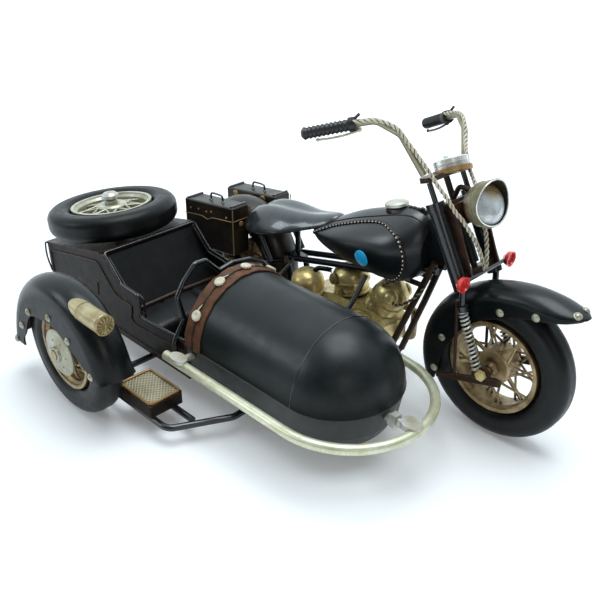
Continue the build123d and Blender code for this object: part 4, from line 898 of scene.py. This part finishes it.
def mesh_tread():
    """A diamond mesh in a rounded, rolled edge, on the footrest."""
    tread = Shape()
    x, y, top = -165.0, -153.2, 23.9
    edge = []
    for side_x, side_y, start in ((1, 1, 0), (-1, 1, 90), (-1, -1, 180), (1, -1, 270)):
        for step in range(6):
            angle = math.radians(start + 18 * step)
            edge.append(at(x + side_x * 14.4 + 2.4 * math.cos(angle),
                           y + side_y * 9.4 + 2.4 * math.sin(angle), top + 0.35))
    tread.tube(edge, 0.9, 1, 8, closed=True)
    tread.slab([point - Vector((0, 0, 0.9 * MM)) for point in edge], Vector((0, 0, 0.5 * MM)), 2, 0.98)
    half_x, half_y = 15.6, 10.6
    for lean in (-1, 1):
        for start in range(-27, 28, 3):
            inside = []
            for step in range(121):
                t = (step - 60) / 2
                ahead, left = start + 0.75 * t, 0.62 * lean * t
                if abs(ahead) <= half_x and abs(left) <= half_y:
                    inside.append(at(x + ahead, y + left, top))
            if len(inside) > 6:
                tread.tube([inside[0], inside[-1]], 0.42, 0, 6)
    tread.piece("mesh_tread", "motorcycle", "gold_mesh", MESH_GOLD, EDGE_GOLD, DARK_BRASS,
                replaces=("footrest_tread",))


def lamp_face():
    """The side lamp's pressed face, with rays round a button, and a ring round its shell."""
    face = Shape()
    left, up = -182.0, 84.5
    centre = at(-161.8, left, up)
    profile = ((6.7, 0.0, 0.0), (6.8, 0.8, 0.0), (6.0, 1.4, 0.0), (5.6, 1.0, 0.0), (4.9, 1.1, 0.5),
               (2.6, 1.3, 0.35), (1.4, 1.4, 0.0), (1.2, 2.1, 0.0), (0.1, 2.3, 0.0))
    rings = []
    for radius, lift, ray in profile:
        ring = []
        for step in range(48):
            turn = 2 * math.pi * step / 48
            height = lift + ray * math.cos(turn * 12)
            ring.append(centre + Vector((height, radius * math.cos(turn), radius * math.sin(turn))) * MM)
        rings.append(ring)
    face.skin(rings)
    face.turned(at(-184.0, left, up), (1, 0, 0), ((-0.8, 6.4), (-0.6, 6.8), (0.4, 6.8), (0.6, 6.4)), 1, 32)
    face.piece("side_lamp_face", "motorcycle", "brass_engine", DARK_BRASS, LAMP_BRASS)


HUB_R = 16.5


def hub_disc():
    """The polished disc on the sidecar wheel's hub, with its step, studs and centre button."""
    disc = Shape()
    centre = at(SIDE_X, SIDE_Y, SMALL_WHEEL_R)
    profile = ((-3.0, HUB_R - 3.0), (0, HUB_R), (1.2, HUB_R), (1.7, HUB_R - 0.8), (1.5, HUB_R - 2.2),
               (2.0, HUB_R - 3.6), (2.6, 7.4), (3.0, 6.6), (3.0, 5.4), (4.6, 5.0), (4.9, 4.2), (4.9, 3.8))
    disc.turned(centre + Vector((0, -10.5 * MM, 0)), (0, -1, 0), profile, 0, 40)
    for step in range(6):
        turn = math.pi * step / 3
        stud = centre + Vector((9.6 * math.cos(turn), -12.5, 9.6 * math.sin(turn))) * MM
        disc.dome(stud, (0, -1, 0), 0.9, 0, 8)
    disc.piece("side_hub_disc", "side_wheel_set", "gold_wheel", HUB_SILVER)


# ---- engine ----
CAN_AT = (-154.5, -16)
CAN_FOOT = 48.6


def front_barrel():
    """The smooth front barrel, its head and a round cover on each side of it."""
    lean = math.radians(35)
    ahead = Vector((math.sin(lean), 0, math.cos(lean)))
    foot = at(-99, 0, 50)
    barrel = Shape()
    barrel.turned(foot, ahead, ((0.2, 11.6), (2, 12.2), (3, 11.4), (4, 12.2), (5.2, 11.4), (6.4, 12.2),
                                (7.6, 11.5), (12.0, 11.5), (12.6, 12.9), (14.6, 12.9), (15.0, 12.1),
                                (19.0, 12.5), (23.0, 11.6), (26.6, 9.2), (29.2, 5.4), (30.6, 2.2),
                                (31.0, 0)), 0, 40)
    for side in (-1, 1):
        out = (ahead * 0.55 + Vector((0.45, side * 0.8, 0))).normalized()
        barrel.turned(foot + ahead * 21 * MM + Vector((3.5, side * 7.5, 0)) * MM, out,
                      ((-1, 5.0), (2.0, 5.0), (3.4, 4.6), (4.6, 3.2), (5.2, 1.4), (5.3, 0)), 0, 24)
    barrel.piece("front_barrel", "motorcycle", "brass_engine", BRASS, replaces=("front_cylinder",))


def rear_barrel():
    """The rear barrel and its head, with a round cover and a nut on each side of it."""
    lean = math.radians(-10)
    up = Vector((math.sin(lean), 0, math.cos(lean)))
    foot = at(-124, 0, 50)
    barrel = Shape()
    barrel.turned(foot, up, ((3.6, 12.4), (5, 13.2), (6.4, 12.4), (7.8, 13.2), (9.2, 12.4), (12.0, 12.4),
                             (12.6, 14.2), (14.0, 14.2), (14.4, 13.2), (18.6, 13.0), (21.8, 11.2),
                             (24.2, 7.4), (25.4, 3.0), (25.6, 0)), 0, 40)
    for side in (-1, 1):
        spot = foot + up * 16 * MM + Vector((-4.0, side * 12.0, 0)) * MM
        barrel.turned(spot, (-0.25, side, 0.15),
                      ((-1, 4.2), (2.4, 4.2), (3.0, 3.6), (3.0, 2.4), (3.8, 2.2), (4.0, 0)), 1, 24)
        barrel.turned(spot + Vector((7.0, side * 0.5, -8.5)) * MM, (0.1, side, -0.2),
                      ((-1, 2.6), (1.6, 2.6), (1.9, 1.9), (2.9, 1.7), (3.1, 0)), 1, 6)
    barrel.piece("rear_barrel", "motorcycle", "brass_engine", BRASS, DARK_BRASS, replaces=("rear_cylinder",))


def air_cleaner_can():
    """A domed can on a bolted foot, with a spout on its side."""
    x, y = CAN_AT
    can = Shape()
    can.turned(at(x, y, CAN_FOOT), (0, 0, 1), ((0, 12.6), (1.2, 13.6), (2.6, 13.6), (3.6, 12.3), (9.6, 12.4),
                                               (13.4, 11.1), (16.4, 7.8), (18.0, 3.6), (18.4, 0)), 0, 40)
    can.turned(at(x - 6.9, y - 9.4, CAN_FOOT + 4.0), (-0.45, -1, 0),
               ((-2, 2.6), (1.4, 2.6), (1.8, 2.0), (2.6, 1.6), (2.7, 0)), 0, 14)
    for turn in range(5):
        angle = 2 * math.pi * turn / 5
        bolt = at(x + 13.0 * math.cos(angle), y + 13.0 * math.sin(angle), CAN_FOOT + 2.6)
        can.dome(bolt, (0, 0, 1), 0.8, 0, 8)
    can.piece("air_cleaner_can", "motorcycle", "brass_engine", BRASS, replaces=("air_cleaner",))


def crankcase_bolts():
    """A ring of hexagon bolts and a raised boss on each of the crankcase's round covers."""
    cover = Shape()
    for side in (-1, 1):
        for ahead, up, depth, ring, bolts in ((-104, 37, 17.4, 9.6, 6), (-142, 35, 15.9, 7.0, 5)):
            for bolt in range(bolts):
                angle = 2 * math.pi * bolt / bolts + 0.3
                spot = at(ahead + ring * math.cos(angle), side * depth, up + ring * math.sin(angle))
                cover.turned(spot, (0, side, 0), ((-0.6, 1.1), (0.5, 1.1), (0.9, 0.8), (1.0, 0)), 0, 6)
            cover.turned(at(ahead, side * (depth - 0.2), up), (0, side, 0),
                         ((-0.6, 4.6), (0.8, 4.6), (1.2, 4.0), (1.2, 2.4), (0.7, 2.0), (0.7, 0)), 0, 24)
    cover.piece("crankcase_bolts", "motorcycle", "brass_engine", DARK_BRASS)


def engine_leads():
    """Two twisted leads from the front barrel up to the frame."""
    leads = Shape()
    for route in (
        ((-81.0, -9.0, 64.0), (-74.0, -13.0, 67.0), (-67.0, -13.6, 71.5), (-60.5, -11.0, 78.0),
         (-56.5, -8.4, 85.0)),
        ((-90.0, -9.5, 74.6), (-84.0, -12.0, 79.5), (-76.0, -11.0, 84.5), (-66.0, -8.2, 88.4)),
    ):
        leads.strands(flowing([at(*point) for point in route], 8), (0.58, 0.58), 0.52, 4.6)
    leads.piece("engine_leads", "motorcycle", "black_grip", DARK_BRASS, CORD)


for make in (
    coil_springs, control_cables, levers, lamp_edge, dial_bezel, rivets, tank_stitching, tank_fittings,
    saddle_pan, luggage_trim, leather_band, hull_lines, body_trim, seat, mesh_tread, lamp_face, hub_disc,
    front_barrel, rear_barrel, air_cleaner_can, crankcase_bolts, engine_leads,
):
    make()


# ---- stage, light and camera ----
def floor_and_light():
    """A pale floor, a soft box overhead, two weak ones at the sides and a sky that darkens low down."""
    mesh = bpy.data.meshes.new("floor")
    mesh.from_pydata([(-6, -6, 0), (6, -6, 0), (6, 6, 0), (-6, 6, 0)], [], [(0, 1, 2, 3)])
    floor = bpy.data.objects.new("floor", mesh)
    bpy.context.scene.collection.objects.link(floor)
    made, tree, shader = fresh_material("pale_floor")
    shader.inputs["Base Color"].default_value = (0.86, 0.88, 0.90, 1)
    shader.inputs["Roughness"].default_value = 0.85
    shader.inputs["Emission Color"].default_value = (0.98, 0.99, 1.0, 1)
    place = wire(tree, "ShaderNodeTexCoord").outputs["Object"]
    reach = wire(tree, "ShaderNodeVectorMath", {"operation": "LENGTH"}, i0=place).outputs["Value"]
    tree.links.new(ramp(tree, reach, 0.3, 1.1, 0.16, 0.95), shader.inputs["Emission Strength"])
    mesh.materials.append(made)
    middle = at(-120, -70, 60)
    for name, size, power, colour, place in (
        ("overhead", 0.85, 11.0, (0.90, 0.96, 1.0), (0.06, 0.10, 1.20)),
        ("left", 0.42, 2.8, (0.84, 0.94, 1.0), (-0.80, -0.98, 0.64)),
        ("ahead", 0.5, 1.0, (1.0, 0.98, 0.94), (1.05, -0.60, 0.55)),
    ):
        data = bpy.data.lights.new(name, "AREA")
        data.size = size
        data.energy = power
        data.color = colour
        lamp = bpy.data.objects.new(name, data)
        bpy.context.scene.collection.objects.link(lamp)
        lamp.location = middle + Vector(place)
        lamp.rotation_euler = (-Vector(place)).to_track_quat("-Z", "Y").to_euler()
    world = bpy.data.worlds.new("studio")
    world.use_nodes = True
    tree = world.node_tree
    way = wire(tree, "ShaderNodeTexCoord").outputs["Generated"]
    towards = wire(tree, "ShaderNodeVectorMath", {"operation": "DOT_PRODUCT"}, i0=way,
                   i1=(-0.55, 0.58, 0.60))
    sky = blend_colour(tree, ramp(tree, towards.outputs["Value"], -0.10, 0.75), (0.055, 0.055, 0.05),
                       (0.98, 1.10, 1.15))
    tree.links.new(sky, tree.nodes["Background"].inputs["Color"])
    tree.nodes["Background"].inputs["Strength"].default_value = 1.0
    bpy.context.scene.world = world
    bpy.context.scene.view_settings.view_transform = "Standard"


def camera():
    """The camera stands ahead and to the right of the sidecar, looking down at it."""
    turn, tip, roll = math.radians(44.80), math.radians(29.02), math.radians(0.42)
    forward = Vector((-math.sin(turn) * math.cos(tip), math.cos(turn) * math.cos(tip), -math.sin(tip)))
    level = Vector((math.cos(turn), math.sin(turn), 0))
    over = level.cross(forward)
    right = level * math.cos(roll) + over * math.sin(roll)
    upward = over * math.cos(roll) - level * math.sin(roll)
    data = bpy.data.cameras.new("camera")
    data.lens = 46.97
    data.sensor_width = 36.0
    data.clip_start = 0.02
    seen = bpy.data.objects.new("camera", data)
    bpy.context.scene.collection.objects.link(seen)
    place = at(202.88, -383.89, 324.76)
    seen.matrix_world = Matrix((
        (right.x, upward.x, -forward.x, place.x),
        (right.y, upward.y, -forward.y, place.y),
        (right.z, upward.z, -forward.z, place.z),
        (0, 0, 0, 1),
    ))
    bpy.context.scene.camera = seen


floor_and_light()
camera()
